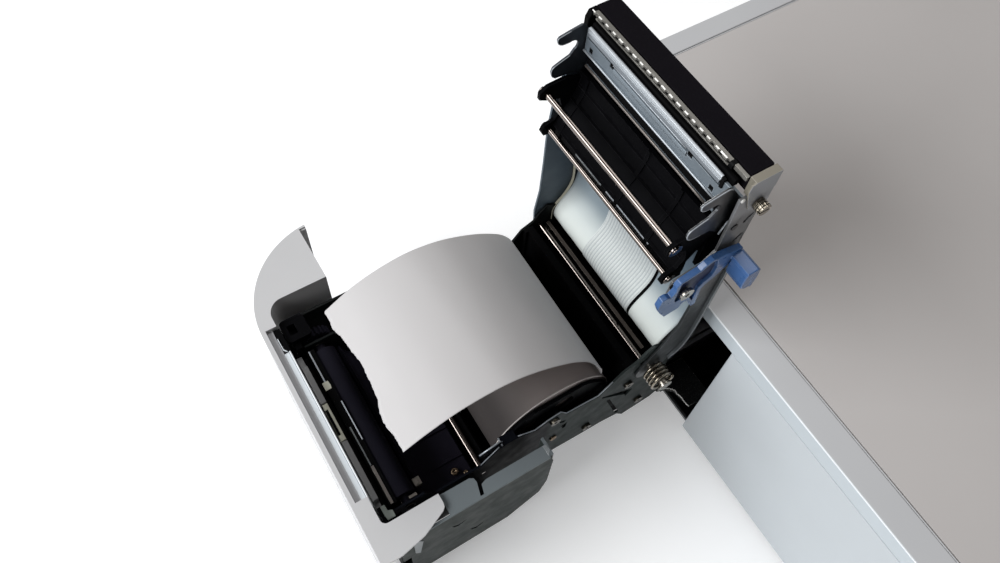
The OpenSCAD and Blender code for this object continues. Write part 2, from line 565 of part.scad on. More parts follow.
module guide_moulding() place() color([0.05, 0.05, 0.055]) difference() {
    union() {
        // back
        box([-43.6, 166.6, 169], [43.6, 171.4, 200.2]);
        // curved front wall with its foot
        yz(-43.6, 43.6) polygon(concat(guide_front, guide_inner, [[167, 173.2], [167, 171.4]]));
        // cross ribs
        for (x = [-38.4, 3.6, 24.6]) yz(x, x + 1.8) polygon(concat([for (p = guide_front) p - [0.7, 0]], guide_inner));
        // long ridges
        for (k = [1 : 4]) translate([0, guide_front[k][0], guide_front[k][1]]) rotate([-64, 0, 0]) box([-43.4, -0.8, -0.5], [43.4, 0.8, 0.7]);
        for (x = [-43.6, 0, 42]) box([x, 158.5, 173], [x + 1.6, 167, 200.2]);
        // ears that carry the rods
        yz(-43.7, -42) polygon(concat([[157, 171.4], [167, 171.4], [167, 200.2]], ear));
        yz(42, 43.7) polygon(concat([[150.4, 172], [151.6, 176], [151.4, 184], [153, 190], [161, 195]], ear));
    }
    // gap beside the near ear
    box([37.6, 151.6, 171], [44, 165, 173.3]);
    rodx(rod_a, -45, 45, rod_r + 0.05);
    rodx(rod_b, -45, 45, 1.3);
}
module e_clips(p, r) for (x = [[43.9, 44.5], [-44.5, -43.9]]) difference() {
    rodx(p, x[0], x[1], r + 1.5);
    rodx(p, x[0] - 1, x[1] + 1, r - 0.3);
    translate([x[0] - 1, p[0] - 0.8, p[1]]) cube([3, 1.6, 6]);
}
module upper_rod() place() color([0.80, 0.78, 0.77]) {
    rodx(rod_a, -44.8, 44.8, rod_r);
    e_clips(rod_a, rod_r);
}
module lower_rod() place() color([0.80, 0.78, 0.77]) {
    rodx(rod_b, -44.8, 44.8, 1.25);
    e_clips(rod_b, 1.25);
}
module print_head() place() color([0.50, 0.56, 0.60]) {
    difference() {
        union() {
            box([-43.4, 157.9, 214.2], [43.4, 159.1, 221.4]);
            // turned lip along the lower edge
            box([-43.4, 157.5, 214.2], [39, 158, 215.2]);
            // raised tabs at the ends
            box([-43.4, 157.9, 221], [-42.9, 159.1, 226]);
            yz(40.4, 43.4) polygon([[157.9, 221], [159.1, 221], [159.1, 225.4], [157.9, 225.4]]);
        }
        // stepped slots
        for (x = [-40.6, 35]) box([x, 157, 215.6], [x + 2.2, 160, 218.4]);
        for (x = [-27.4, 21.2]) box([x, 157, 219.6], [x + 2.6, 160, 222]);
    }
    // heat sink and carrier
    box([-40, 159.1, 206], [40, 163.4, 219.6]);
    box([-42.6, 159.7, 219], [42.6, 160.9, 223.4]);
    // lower guard strip
    box([-41.5, 158.5, 206.9], [36, 159.3, 208.1]);
    // heating element carrier
    color([0.75, 0.78, 0.80]) yz(-24.6, 21) polygon([[157.9, 218], [157.4, 218.8], [157.1, 220], [157.3, 221], [157.9, 221.4]]);
}
module head_springs() place() color([0.70, 0.70, 0.70])
    for (x = [-26, 0, 26]) translate([x, 163.9, 209]) rotate([0, 0, 90]) coil(2.4, 0.4, 0, 1.7, 5, 10, 6);
module cutter_blade() place() color([0.82, 0.84, 0.86])
    yz(-42.4, 38.8) polygon([[157.4, 224.9], [158.2, 224.6], [159.2, 225.2], [159.2, 226.8], [158.4, 227.4], [157.4, 227]]);
module cutter_motor() place() color([0.45, 0.46, 0.48]) {
    rodx([168, 217.2], 12, 36, 3.0);
    rodx([168, 217.2], 8, 12, 1);
}
module tear_bar() place() color([0.70, 0.68, 0.65]) union() {
    box([-43.6, 161.8, 224.2], [36.6, 163.3, 231]);
    box([-47.6, 161.8, 229], [45.2, 163.3, 231]);
    // toothed edge
    xy(230, 231) polygon(concat([[36.6, 162.4], [-47.6, 162.4]],
        [for (i = [0 : 18]) for (p = [[0, 161.8], [0.16, 160.9], [0.66, 160.9], [0.82, 161.8]]) [-47.6 + (i + p[0]) * 84.2 / 19, p[1]]], [[36.6, 161.8]]));
    // lower lip
    box([-43.6, 160.9, 228.6], [36.6, 162, 229.3]);
}
module top_bar() place() color([0.08, 0.08, 0.09]) {
    box([-48, 164, 222.4], [45.4, 174.2, 231.3]);
}
module bar_bracket() place() color([0.50, 0.48, 0.45]) difference() {
    union() {
        box([45.6, 163, 222.4], [49, 174.8, 231.5]);
        // side flange over the cover plate
        yz(48.2, 49) polygon([[161, 227.4], [161.4, 230.8], [163, 231.2], [174.6, 231.2], [174.6, 214.4], [169.8, 213.4], [165.6, 214], [163, 221]]);
    }
    rodx([scr_y, scr_z], 45, 50, 1.5);
}
module thumbscrew() place() color([0.45, 0.43, 0.40]) {
    rodx([scr_y, scr_z], 46.2, 49.8, 1.4);
    difference() {
        rodx([scr_y, scr_z], 49.3, 53.4, 2.7);
        for (a = [0 : 24 : 350]) rodx([scr_y + 2.85 * cos(a), scr_z + 2.85 * sin(a)], 48, 55, 0.3, $fn = 13);
        box([52.8, 163, scr_z - 0.4], [55, 173, scr_z + 0.4]);
    }
}
module release_lever() place() color([0.27, 0.43, 0.68]) difference() {
    union() {
        // arm with its two tines
        yz(49.2, 51.9) polygon([[140.5, 159.7], [137, 165.6], [134.4, 172.4], [135.2, 177.6], [137.6, 177.8], [139.6, 176.4], [141.4, 179.4],
            [140.7, 183.4], [142, 185.6], [146.2, 186.5], [150.7, 187.6], [153, 189.8], [156, 191.4], [163, 190.4], [171.4, 188],
            [171.4, 181], [165, 177.4], [162.6, 174], [158.5, 170.9], [156.7, 168.3], [157.9, 154.6], [155.9, 154.2], [151.2, 163.5],
            [149.2, 164], [147.4, 160.6]]);
        // thumb pad with its turned-down rear edge
        yz(49.2, 62) polygon([[pad_y, 184.4], [pad_y + 0.3, 185.8], [171.4, 186.2], [172.8, 185.2], [173.5, 179], [173.1, 172.6], [172.2, 171.8],
            [171.2, 172.8], [170.8, 177], [169.6, 181], [168, 182.8], [166.6, 183.6]]);
    }
    rodx([lev_y, lev_z], 48, 54, 2.06);
    // channel on the outer side
    yz(50.4, 54) polygon([[142.6, 178], [142.6, 184], [143.2, 184.6], [146.6, 185.1], [151.4, 186.2], [153.8, 188.2], [156.3, 189.6],
        [158.6, 189], [160.4, 182], [160, 176.6], [156.4, 174], [154.8, 171.4], [154.8, 160.4], [151.6, 166], [148.6, 169.2], [143.4, 169.2], [142.6, 172]]);
}
module lever_screw() place() color([0.70, 0.70, 0.71]) {
    rodx([lev_y, lev_z], 46.85, 52, 1.5);
    rodx([lev_y, lev_z], 48.1, 51.8, 2);
    difference() {
        rodx([lev_y, lev_z], 51.7, 53.2, 3.3);
        rodx([lev_y, lev_z], 52.4, 54, 1.2, $fn = 6);
    }
}
module latch_frame() place() color([0.60, 0.61, 0.61]) {
    both() difference() {
        yz(44, 45) polygon([[168, 199], [168, 207], [162.4, 220], [157.4, 227.3], [155.6, 228.1], [150.4, 227.2], [145.2, 226.1], [144.5, 225],
            [144.9, 223.2], [147, 221.7], [150.6, 221.5], [153, 219.6], [153.5, 216.6], [151.6, 213.8], [147.6, 212.3], [144, 210.6], [143.3, 208.4],
            [143.9, 206], [145.8, 204.1], [150.4, 203.6], [155, 203.2], [160, 198.6]]);
        rodx([150.5, 217.5], 43, 46, 2.9);
        rodx([151.8, 218.7], 43, 46, 2.9);
    }
    rodx([latch_y, latch_z], -48.6, 48.4, 1.5);
}
film = [[160.6, 91.2], [159, 94.4], [158.2, 98.5], [159, 102.6], [161.3, 106.8], [164.4, 111], [167.2, 115.5], [168.6, 120.5], [169.2, 127], [169.8, 140], [170, 168]];
module flex_cable() place() color([0.80, 0.83, 0.83]) {
    yz(-44.4, 44.4) polygon(concat(film, [for (i = [len(film) - 1 : -1 : 0]) film[i] - [0.3, 0]]));
    yz(-17.5, 20.8) polygon(concat([for (p = film) p - [0.25, 0]], [for (i = [len(film) - 1 : -1 : 0]) film[i] - [0.75, 0]]));
}

base_plate();
side_shell();
front_panel();
top_cover();
top_panel();
bay_liner();
rubber_feet();
housing_screws();
main_board();
board_standoffs();
power_supply();
io_sockets();
slide_outer();
slide_middle();
slide_inner();
fascia();
fascia_insert();
tray();
side_plate_right();
side_plate_left();
bucket();
front_guide();
front_frame();
exit_segments();
paper_sensor();
fixed_blade();
end_blocks();
rear_guide();
rear_link();
roll_guides();
feed_motor();
motor_pinion();
idler_gear();
platen_roller();
front_shaft();
rear_shaft();
hinge_pins();
platen_bushes();
hinge_spring();
module_screws();
paper_roll();
paper_leader();
cover_back();
cover_plate_right();
cover_plate_left();
guide_moulding();
upper_rod();
lower_rod();
print_head();
head_springs();
cutter_blade();
cutter_motor();
tear_bar();
top_bar();
bar_bracket();
thumbscrew();
release_lever();
lever_screw();
latch_frame();
flex_cable();
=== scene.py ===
import bpy, bmesh, math, random
import numpy as np
from mathutils import Matrix, Vector, noise


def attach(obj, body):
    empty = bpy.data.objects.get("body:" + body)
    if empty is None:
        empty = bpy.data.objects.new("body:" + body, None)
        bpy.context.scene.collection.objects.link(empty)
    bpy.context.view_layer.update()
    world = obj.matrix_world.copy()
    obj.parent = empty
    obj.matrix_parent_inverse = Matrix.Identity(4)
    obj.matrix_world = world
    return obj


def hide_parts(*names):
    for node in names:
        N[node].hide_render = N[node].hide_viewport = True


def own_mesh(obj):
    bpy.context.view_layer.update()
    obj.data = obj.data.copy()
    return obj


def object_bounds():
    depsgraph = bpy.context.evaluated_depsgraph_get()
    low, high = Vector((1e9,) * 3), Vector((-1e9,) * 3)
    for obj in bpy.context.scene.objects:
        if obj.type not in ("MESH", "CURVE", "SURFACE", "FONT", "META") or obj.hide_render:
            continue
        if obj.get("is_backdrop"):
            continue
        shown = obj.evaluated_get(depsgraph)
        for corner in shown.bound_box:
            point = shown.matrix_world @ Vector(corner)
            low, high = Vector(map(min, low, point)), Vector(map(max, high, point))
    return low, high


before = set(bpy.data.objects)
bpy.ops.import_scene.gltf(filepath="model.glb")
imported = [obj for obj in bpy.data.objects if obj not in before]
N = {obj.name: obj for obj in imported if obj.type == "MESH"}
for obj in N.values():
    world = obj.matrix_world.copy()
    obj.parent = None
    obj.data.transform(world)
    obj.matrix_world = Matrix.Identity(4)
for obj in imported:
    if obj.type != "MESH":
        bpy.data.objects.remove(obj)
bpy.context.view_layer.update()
SC = bpy.context.scene
OX, OY = 60.4, 247.15


def V(x, y, z):
    """A point of the layout in millimetres (x = 0 the printer's centre, y = 0 its front) as metres of the row frame."""
    return Vector(((x - OX) / 1000, (y - OY) / 1000, z / 1000))


# ------------------------------------------------------------------ camera
right = Vector((0.52121, 0.85235, 0.04302))
up = Vector((-0.75461, 0.43673, 0.48973))
back = Vector((0.39863, -0.28771, 0.87081))
cam_data = bpy.data.cameras.new("camera")
cam = bpy.data.objects.new("camera", cam_data)
SC.collection.objects.link(cam)
cam_data.sensor_width = 36
cam_data.lens = 29.874
cam_data.clip_start, cam_data.clip_end = 0.01, 50
cam.matrix_world = Matrix(((right.x, up.x, back.x, 0.0796), (right.y, up.y, back.y, -0.25285), (right.z, up.z, back.z, 0.455), (0, 0, 0, 1)))
SC.camera = cam
SC.view_settings.view_transform = "Standard"
SC.view_settings.look = "None"
SC.view_settings.exposure = 0.0
SC.view_settings.gamma = 1.0


# ------------------------------------------------------------------ materials
def srgb(*c):
    """0..255 display values to linear."""
    return tuple(((v / 255) / 12.92 if v / 255 <= 0.04045 else ((v / 255 + 0.055) / 1.055) ** 2.4) for v in c) + (1.0,)


def mix(a, b, t):
    return tuple(a[i] * (1 - t) + b[i] * t for i in range(3)) + (1.0,)


def material(name, col, rough=0.5, metal=0.0, var=0.08, var_scale=25, grain=900, grain_h=0.00002, rough_var=0.08,
             brush=None, wear=None, wear_amt=0.5, bevel=0.00035, coat=0.0, coat_rough=0.2, spec=0.5, dust=0.0, speck=0.0,
             stripes=None, aniso=0.0, two=None, zones=(), grain_d=5):
    m = bpy.data.materials.new(name)
    m.use_nodes = True
    nt = m.node_tree
    nt.nodes.clear()
    L = nt.links.new
    nd = lambda t, **k: _node(nt, t, **k)
    out = nd("ShaderNodeOutputMaterial")
    b = nd("ShaderNodeBsdfPrincipled")
    L(b.outputs[0], out.inputs[0])
    b.inputs["Metallic"].default_value = metal
    b.inputs["Specular IOR Level"].default_value = spec
    b.inputs["Coat Weight"].default_value = coat
    b.inputs["Coat Roughness"].default_value = coat_rough
    b.inputs["Anisotropic"].default_value = aniso
    tc = nd("ShaderNodeTexCoord")
    mp = nd("ShaderNodeMapping")
    L(tc.outputs["Object"], mp.inputs["Vector"])
    if brush:
        mp.inputs["Scale"].default_value = brush
    big = nd("ShaderNodeTexNoise")
    big.inputs["Scale"].default_value = var_scale
    big.inputs["Detail"].default_value = 4
    L(tc.outputs["Object"], big.inputs["Vector"])
    ramp = nd("ShaderNodeValToRGB")
    ramp.color_ramp.elements[0].position, ramp.color_ramp.elements[1].position = 0.3, 0.7
    second = srgb(*two) if two else mix(col, (0, 0, 0), var)
    ramp.color_ramp.elements[0].color = second
    ramp.color_ramp.elements[1].color = tuple(min(1.0, v * (1 + var * 0.3)) for v in col[:3]) + (1.0,) if not two else col
    L(big.outputs["Fac"], ramp.inputs["Fac"])
    colour = ramp.outputs["Color"]
    fine = nd("ShaderNodeTexNoise")
    fine.inputs["Scale"].default_value = grain
    fine.inputs["Detail"].default_value = grain_d
    fine.inputs["Roughness"].default_value = 0.6
    L(mp.outputs["Vector"] if brush else tc.outputs["Object"], fine.inputs["Vector"])
    if stripes:
        wv = nd("ShaderNodeTexWave")
        wv.wave_type, wv.bands_direction = "BANDS", "X"
        ms = nd("ShaderNodeMapping")
        L(tc.outputs["Object"], ms.inputs["Vector"])
        ms.inputs["Rotation"].default_value = stripes[0]
        L(ms.outputs["Vector"], wv.inputs["Vector"])
        wv.inputs["Scale"].default_value = stripes[1]
        mx = nd("ShaderNodeMix", data_type="RGBA")
        L(wv.outputs["Fac"], mx.inputs["Factor"])
        L(colour, mx.inputs[6])
        mx.inputs[7].default_value = srgb(*stripes[2])
        colour = mx.outputs[2]
    if speck:
        sp = nd("ShaderNodeTexNoise")
        sp.inputs["Scale"].default_value = 2600
        sp.inputs["Detail"].default_value = 1
        L(tc.outputs["Object"], sp.inputs["Vector"])
        mr = nd("ShaderNodeMapRange")
        mr.inputs["From Min"].default_value, mr.inputs["From Max"].default_value = 0.56, 0.7
        mr.inputs["To Max"].default_value = speck
        L(sp.outputs["Fac"], mr.inputs["Value"])
        mx = nd("ShaderNodeMix", data_type="RGBA")
        L(mr.outputs[0], mx.inputs["Factor"])
        L(colour, mx.inputs[6])
        mx.inputs[7].default_value = mix(col, (0.5, 0.5, 0.5), 0.5)
        colour = mx.outputs[2]
    if dust:
        ds = nd("ShaderNodeTexNoise")
        ds.inputs["Scale"].default_value = 60
        ds.inputs["Detail"].default_value = 8
        ds.inputs["Roughness"].default_value = 0.75
        L(tc.outputs["Object"], ds.inputs["Vector"])
        mr = nd("ShaderNodeMapRange")
        mr.inputs["From Min"].default_value, mr.inputs["From Max"].default_value = 0.5, 0.75
        mr.inputs["To Max"].default_value = dust
        L(ds.outputs["Fac"], mr.inputs["Value"])
        mx = nd("ShaderNodeMix", data_type="RGBA")
        L(mr.outputs[0], mx.inputs["Factor"])
        L(colour, mx.inputs[6])
        mx.inputs[7].default_value = srgb(150, 146, 140)
        colour = mx.outputs[2]
    geo = nd("ShaderNodeNewGeometry")
    if wear:
        bv = nd("ShaderNodeBevel")
        bv.samples = 4
        bv.inputs["Radius"].default_value = bevel
        dt = nd("ShaderNodeVectorMath", operation="DOT_PRODUCT")
        L(bv.outputs[0], dt.inputs[0])
        L(geo.outputs["Normal"], dt.inputs[1])
        wr = nd("ShaderNodeMapRange")
        wr.inputs["From Min"].default_value, wr.inputs["From Max"].default_value = 0.99, 0.86
        L(dt.outputs["Value"], wr.inputs["Value"])
        wn = nd("ShaderNodeTexNoise")
        wn.inputs["Scale"].default_value = 220
        wn.inputs["Detail"].default_value = 6
        L(tc.outputs["Object"], wn.inputs["Vector"])
        wm = nd("ShaderNodeMapRange")
        wm.inputs["From Min"].default_value, wm.inputs["From Max"].default_value = 0.42, 0.62
        wm.inputs["To Max"].default_value = wear_amt
        L(wn.outputs["Fac"], wm.inputs["Value"])
        ml = nd("ShaderNodeMath", operation="MULTIPLY")
        L(wr.outputs[0], ml.inputs[0])
        L(wm.outputs[0], ml.inputs[1])
        mx = nd("ShaderNodeMix", data_type="RGBA")
        L(ml.outputs[0], mx.inputs["Factor"])
        L(colour, mx.inputs[6])
        mx.inputs[7].default_value = srgb(*wear)
        colour = mx.outputs[2]
    # colour that changes from one place to another along an axis (mm, layout frame); most zones here are painted shade
    # and painted light, laid where shade falls or light catches
    for axis, a0, a1, c in zones:
        off = {"x": OX, "y": OY, "z": 0.0}[axis]
        sp = nd("ShaderNodeSeparateXYZ")
        L(tc.outputs["Object"], sp.inputs[0])
        zr = nd("ShaderNodeMapRange", interpolation_type="SMOOTHSTEP")
        zr.inputs["From Min"].default_value, zr.inputs["From Max"].default_value = (a0 - off) / 1000, (a1 - off) / 1000
        L(sp.outputs["xyz".index(axis)], zr.inputs["Value"])
        mx = nd("ShaderNodeMix", data_type="RGBA")
        L(zr.outputs[0], mx.inputs["Factor"])
        L(colour, mx.inputs[6])
        mx.inputs[7].default_value = srgb(*c)
        colour = mx.outputs[2]
    L(colour, b.inputs["Base Color"])
    rr = nd("ShaderNodeMapRange")
    rr.inputs["From Min"].default_value, rr.inputs["From Max"].default_value = 0.3, 0.7
    rr.inputs["To Min"].default_value = max(0.02, rough - rough_var)
    rr.inputs["To Max"].default_value = min(1, rough + rough_var)
    rn = nd("ShaderNodeTexNoise")
    rn.inputs["Scale"].default_value = 140
    rn.inputs["Detail"].default_value = 5
    L(mp.outputs["Vector"] if brush else tc.outputs["Object"], rn.inputs["Vector"])
    L(rn.outputs["Fac"], rr.inputs["Value"])
    L(rr.outputs[0], b.inputs["Roughness"])
    bp = nd("ShaderNodeBump")
    bp.inputs["Strength"].default_value = 1.0
    bp.inputs["Distance"].default_value = grain_h
    L(fine.outputs["Fac"], bp.inputs["Height"])
    L(bp.outputs[0], b.inputs["Normal"])
    return m


def _node(nt, t, **k):
    n = nt.nodes.new(t)
    for a, v in k.items():
        setattr(n, a, v)
    return n


MAT = {
    "white_shell": material("white_shell", srgb(188, 194, 198), rough_var=0.02, rough=0.34, var=0.02, grain=1500, grain_h=0.0000015, spec=0.4),
    "lid_white": material("lid_white", srgb(194, 190, 188), rough=0.50, var=0.03, var_scale=9, grain=2300, grain_h=0.000006, spec=0.3, dust=0.01),
    # cover_white: its zone darkens the frame's front vertical strip: painted shade
    "cover_white": material("cover_white", srgb(195, 196, 198), rough_var=0.02, rough=0.42, var=0.03, var_scale=12, grain=1900, grain_h=0.000003, spec=0.35, zones=[("y", 184.9, 184.3, (186, 194, 199))]),
    "fascia_grey": material("fascia_grey", srgb(195, 195, 196), rough=0.45, var=0.03, grain=1900, grain_h=0.000012, spec=0.35, wear=(226, 226, 226), wear_amt=0.35),
    "insert_white": material("insert_white", srgb(206, 212, 216), rough=0.3, var=0.06, grain=700, grain_h=0.000006, spec=0.4),
    "insert_shade": material("insert_shade", srgb(176, 177, 180), rough=0.4, var=0.05, grain=900, grain_h=0.000008, spec=0.3),
    # bead_highlight_white: brighter than the white plastics, for beads whose bright line is a painted highlight
    "bead_highlight_white": material("bead_highlight_white", srgb(236, 240, 243), rough=0.35, var=0.05, grain=900, grain_h=0.000005, spec=0.4),
    # grey_green: the z zone makes the tray's flange top lighter (painted light from above), the x zone darkens its far
    # end (painted shade)
    "grey_green": material("grey_green", srgb(48, 54, 52), rough=0.5, spec=0.06, var=0.03, var_scale=30, grain=1500, grain_h=0.000008, wear=(140, 146, 146), wear_amt=0.7, bevel=0.00025, speck=0.04,
                           zones=[("z", 90.2, 90.75, (104, 111, 114)), ("x", -59, -61, (20, 22, 22))]),
    # plate_green: the y zone turns the plate's front part near black: painted shade
    "plate_green": material("plate_green", srgb(50, 56, 55), rough=0.5, spec=0.05, var=0.04, var_scale=30, grain=1500, grain_h=0.000008, wear=(120, 126, 126), wear_amt=0.6, bevel=0.0002, speck=0.04,
                            zones=[("y", 100.5, 96, (11, 13, 19))]),
    # plate_green_shaded: a near-black copy of the plate green, for the far side plate in shade: painted shade
    "plate_green_shaded": material("plate_green_shaded", srgb(17, 19, 19), rough=0.5, spec=0.05, var=0.1, grain=1500, grain_h=0.000006, wear=(60, 66, 66), wear_amt=0.4),
    "flange_grey": material("flange_grey", srgb(108, 115, 118), rough=0.40, metal=0.3, var=0.08, grain=1500, grain_h=0.000005, wear=(190, 194, 194), wear_amt=0.7, speck=0.08),
    "black_plastic": material("black_plastic", srgb(6, 6, 8), rough=0.6, var=0.2, var_scale=60, grain=1700, grain_h=0.000006, spec=0.03, wear=(52, 52, 56), wear_amt=0.5),
    "blue_black": material("blue_black", srgb(30, 28, 37), rough=0.6, var=0.2, var_scale=50, grain=1400, grain_h=0.000006, spec=0.04, wear=(34, 34, 44), wear_amt=0.5),
    "deep_black": material("deep_black", srgb(9, 9, 10), rough=0.6, var=0.2, grain=1500, grain_h=0.000006, spec=0.03, wear=(30, 30, 33), wear_amt=0.35),
    "flap_black": material("flap_black", srgb(20, 21, 22), rough=0.5, var=0.3, var_scale=90, grain=900, grain_h=0.00006, spec=0.05, wear=(200, 200, 196), wear_amt=0.8, speck=0.1),
    "gear_black": material("gear_black", srgb(14, 14, 15), rough=0.4, var=0.1, grain=900, grain_h=0.000008, spec=0.05, wear=(40, 40, 42), wear_amt=0.4),
    "dark_grey": material("dark_grey", srgb(140, 141, 142), rough=0.5, var=0.06, grain=1900, grain_h=0.000012, spec=0.3, wear=(150, 150, 150), wear_amt=0.5),
    "cream": material("cream", srgb(208, 208, 190), rough=0.5, var=0.1, grain=1200, grain_h=0.000012),
    "gear_plastic": material("gear_plastic", srgb(216, 214, 204), rough=0.42, var=0.06, grain=900, grain_h=0.00001, dust=0.05),
    "steel": material("steel", srgb(124, 116, 111), rough=0.12, metal=1.0, var=0.02, var_scale=60, brush=(0.05, 1, 1), grain=420, grain_h=0.00000005, grain_d=2, rough_var=0.01),
    "bright_steel": material("bright_steel", srgb(172, 178, 184), rough=0.42, metal=0.5, var=0.08, var_scale=90, brush=(0.05, 1, 1), grain=420, grain_h=0.0000006, grain_d=2, rough_var=0.03),
    # blade_steel: its zones darken the blade's lower part and its rear: painted shade
    "blade_steel": material("blade_steel", srgb(188, 194, 199), rough=0.4, metal=0.55, var=0.05, var_scale=90, brush=(0.05, 1, 1), grain=420, grain_h=0.0000006, grain_d=2, rough_var=0.03, zones=[("z", 225.6, 224.9, (118, 124, 130)), ("y", 157.9, 158.5, (62, 62, 68))]),
    "rim_steel": material("rim_steel", srgb(214, 219, 222), rough=0.35, metal=0.3, var=0.15, var_scale=200, grain=1500, grain_h=0.000002, grain_d=2),
    # glint_steel: near-white metal for small pieces that stand in for glints: painted highlight
    "glint_steel": material("glint_steel", srgb(238, 238, 234), rough=0.3, metal=0.25, var=0.12, var_scale=700, grain=1800, grain_h=0.000002, grain_d=2),
    "spring_steel": material("spring_steel", srgb(150, 142, 128), rough=0.24, metal=1.0, var=0.25, var_scale=120, grain=500, grain_h=0.0000006, grain_d=2),
    "screw_steel": material("screw_steel", srgb(176, 170, 160), rough=0.26, metal=1.0, var=0.3, var_scale=300, grain=1800, grain_h=0.000002, grain_d=2),
    "screw_dark": material("screw_dark", srgb(86, 82, 74), rough=0.32, metal=1.0, var=0.3, var_scale=300, grain=1800, grain_h=0.000002, grain_d=2, wear=(170, 160, 140), wear_amt=0.6),
    "zinc": material("zinc", srgb(168, 172, 176), rough=0.38, metal=1.0, var=0.2, var_scale=120, grain=900, grain_h=0.000003, grain_d=3, wear=(215, 215, 215), wear_amt=0.6),
    # grey_sheet: its zones lighten the plate's top (painted light) and darken its lower part (painted shade)
    "grey_sheet": material("grey_sheet", srgb(104, 105, 106), rough=0.42, metal=0.4, var=0.10, var_scale=60, grain=1500, grain_h=0.000003, grain_d=3, wear=(215, 214, 210), wear_amt=0.9, speck=0.06,
                           zones=[("z", 205, 212, (140, 141, 144)), ("z", 172, 146, (50, 53, 54))]),
    "turned_sheet": material("turned_sheet", srgb(104, 109, 112), rough=0.38, metal=0.4, var=0.10, var_scale=60, grain=1500, grain_h=0.000003, grain_d=3, wear=(200, 202, 202), wear_amt=0.8),
    # satin_steel: its zones darken the latch's deeper part and the far latch: painted shade
    "satin_steel": material("satin_steel", srgb(72, 74, 77), rough=0.36, metal=0.5, var=0.15, var_scale=80, grain=1500, grain_h=0.000003, grain_d=3, wear=(236, 236, 234), wear_amt=0.95,
                            zones=[("y", 152, 156, (13, 14, 17)), ("x", 30, -30, (50, 55, 61))]),
    "blue_grey": material("blue_grey", srgb(108, 118, 126), rough=0.42, metal=0.3, var=0.06, var_scale=60, grain=1800, grain_h=0.000004, grain_d=3, wear=(210, 218, 224), wear_amt=0.7, speck=0.15),
    "dark_blue": material("dark_blue", srgb(86, 96, 105), rough=0.42, metal=0.2, spec=0.1, var=0.10, var_scale=40, grain=1500, grain_h=0.000005, grain_d=3, wear=(120, 130, 138), wear_amt=0.7),
    "bar_black": material("bar_black", srgb(20, 18, 22), rough=0.75, var=0.10, var_scale=40, grain=2400, grain_h=0.000005, spec=0.02, wear=(40, 38, 40), wear_amt=0.4, speck=0.01),
    "warm_steel": material("warm_steel", srgb(128, 123, 111), rough=0.42, metal=0.2, var=0.08, brush=(1, 0.05, 1), grain=2200, grain_h=0.000002, grain_d=2, wear=(200, 196, 184), wear_amt=0.7,
                           zones=[("x", 48.75, 48.98, (150, 152, 156))]),
    # tear_steel: below z 228.6 the bar is near black: painted shade of the gap under its teeth
    "tear_steel": material("tear_steel", srgb(122, 120, 115), rough=0.36, metal=0.5, var=0.12, brush=(0.05, 1, 1), grain=2200, grain_h=0.000002, grain_d=2, wear=(226, 224, 218), wear_amt=0.8,
                           zones=[("z", 228.7, 228.55, (9, 8, 10))]),
    "lever_blue": material("lever_blue", srgb(60, 95, 145), rough=0.30, var=0.10, var_scale=60, grain=1500, grain_h=0.000010, spec=0.4, wear=(140, 168, 208), wear_amt=0.6, coat=0.15, coat_rough=0.18),
    "paper": material("paper", srgb(193, 191, 191), rough=0.62, var=0.015, var_scale=14, grain=2800, grain_h=0.000006, spec=0.25),
    # roll_paper_shaded: a darker, browner copy of the paper for the roll under the sheet, with its front darker still:
    # painted shade and painted shadow
    "roll_paper_shaded": material("roll_paper_shaded", srgb(150, 141, 138), rough=0.66, var=0.04, var_scale=14, grain=2800, grain_h=0.000006, spec=0.2, zones=[("y", 100, 76, (62, 58, 57))]),
    # paper_edge_highlight: lighter paper for the roll's near rim: painted highlight
    "paper_edge_highlight": material("paper_edge_highlight", srgb(206, 200, 196), rough=0.8, var=0.08, grain=1800, grain_h=0.00002),
    # film, flex, flex_gap: their zones darken the film and cable towards the top: painted shade
    "film": material("film", srgb(226, 232, 228), rough=0.36, var=0.05, var_scale=30, grain=1600, grain_h=0.000004, spec=0.4, zones=[("z", 102, 123, (136, 148, 155)), ("z", 118, 150, (78, 92, 104))]),
    "flex": material("flex", srgb(214, 219, 217), rough=0.30, var=0.04, var_scale=30, grain=1600, grain_h=0.000003, spec=0.5, zones=[("z", 106, 150, (150, 158, 163))]),
    "flex_gap": material("flex_gap", srgb(186, 192, 193), rough=0.40, var=0.06, var_scale=30, grain=1600, grain_h=0.000003, spec=0.3, zones=[("z", 106, 150, (132, 140, 146))]),
    "hem": material("hem", srgb(186, 183, 164), rough=0.5, var=0.08, var_scale=90, grain=1600, grain_h=0.000008, spec=0.3),
    "shaft_plate": material("shaft_plate", srgb(92, 84, 78), rough=0.4, metal=0.6, var=0.15, grain=1600, grain_h=0.000003, grain_d=3, wear=(190, 180, 168), wear_amt=0.8),
    "guard_brown": material("guard_brown", srgb(112, 106, 102), rough=0.4, metal=0.5, var=0.15, grain=1600, grain_h=0.000003, grain_d=3, wear=(150, 144, 138), wear_amt=0.7),
    "rubber": material("rubber", srgb(26, 25, 33), rough=0.7, var=0.15, grain=1500, grain_h=0.00002, spec=0.03),
    "foot_rubber": material("foot_rubber", srgb(22, 22, 24), rough=0.62, var=0.2, grain=1500, grain_h=0.00003, spec=0.3, dust=0.05),
    "pcb": material("pcb", srgb(24, 92, 54), rough=0.4, var=0.2, var_scale=300, grain=900, grain_h=0.00002),
    "brass": material("brass", srgb(150, 122, 70), rough=0.3, metal=1.0, var=0.15, grain=900, grain_h=0.000003, grain_d=3),
    "dark_steel": material("dark_steel", srgb(120, 122, 124), rough=0.45, metal=0.8, var=0.15, grain=1200, grain_h=0.000004, wear=(180, 180, 180)),
    "bronze": material("bronze", srgb(130, 112, 92), rough=0.3, metal=1.0, var=0.2, grain=900, grain_h=0.000002, grain_d=2),
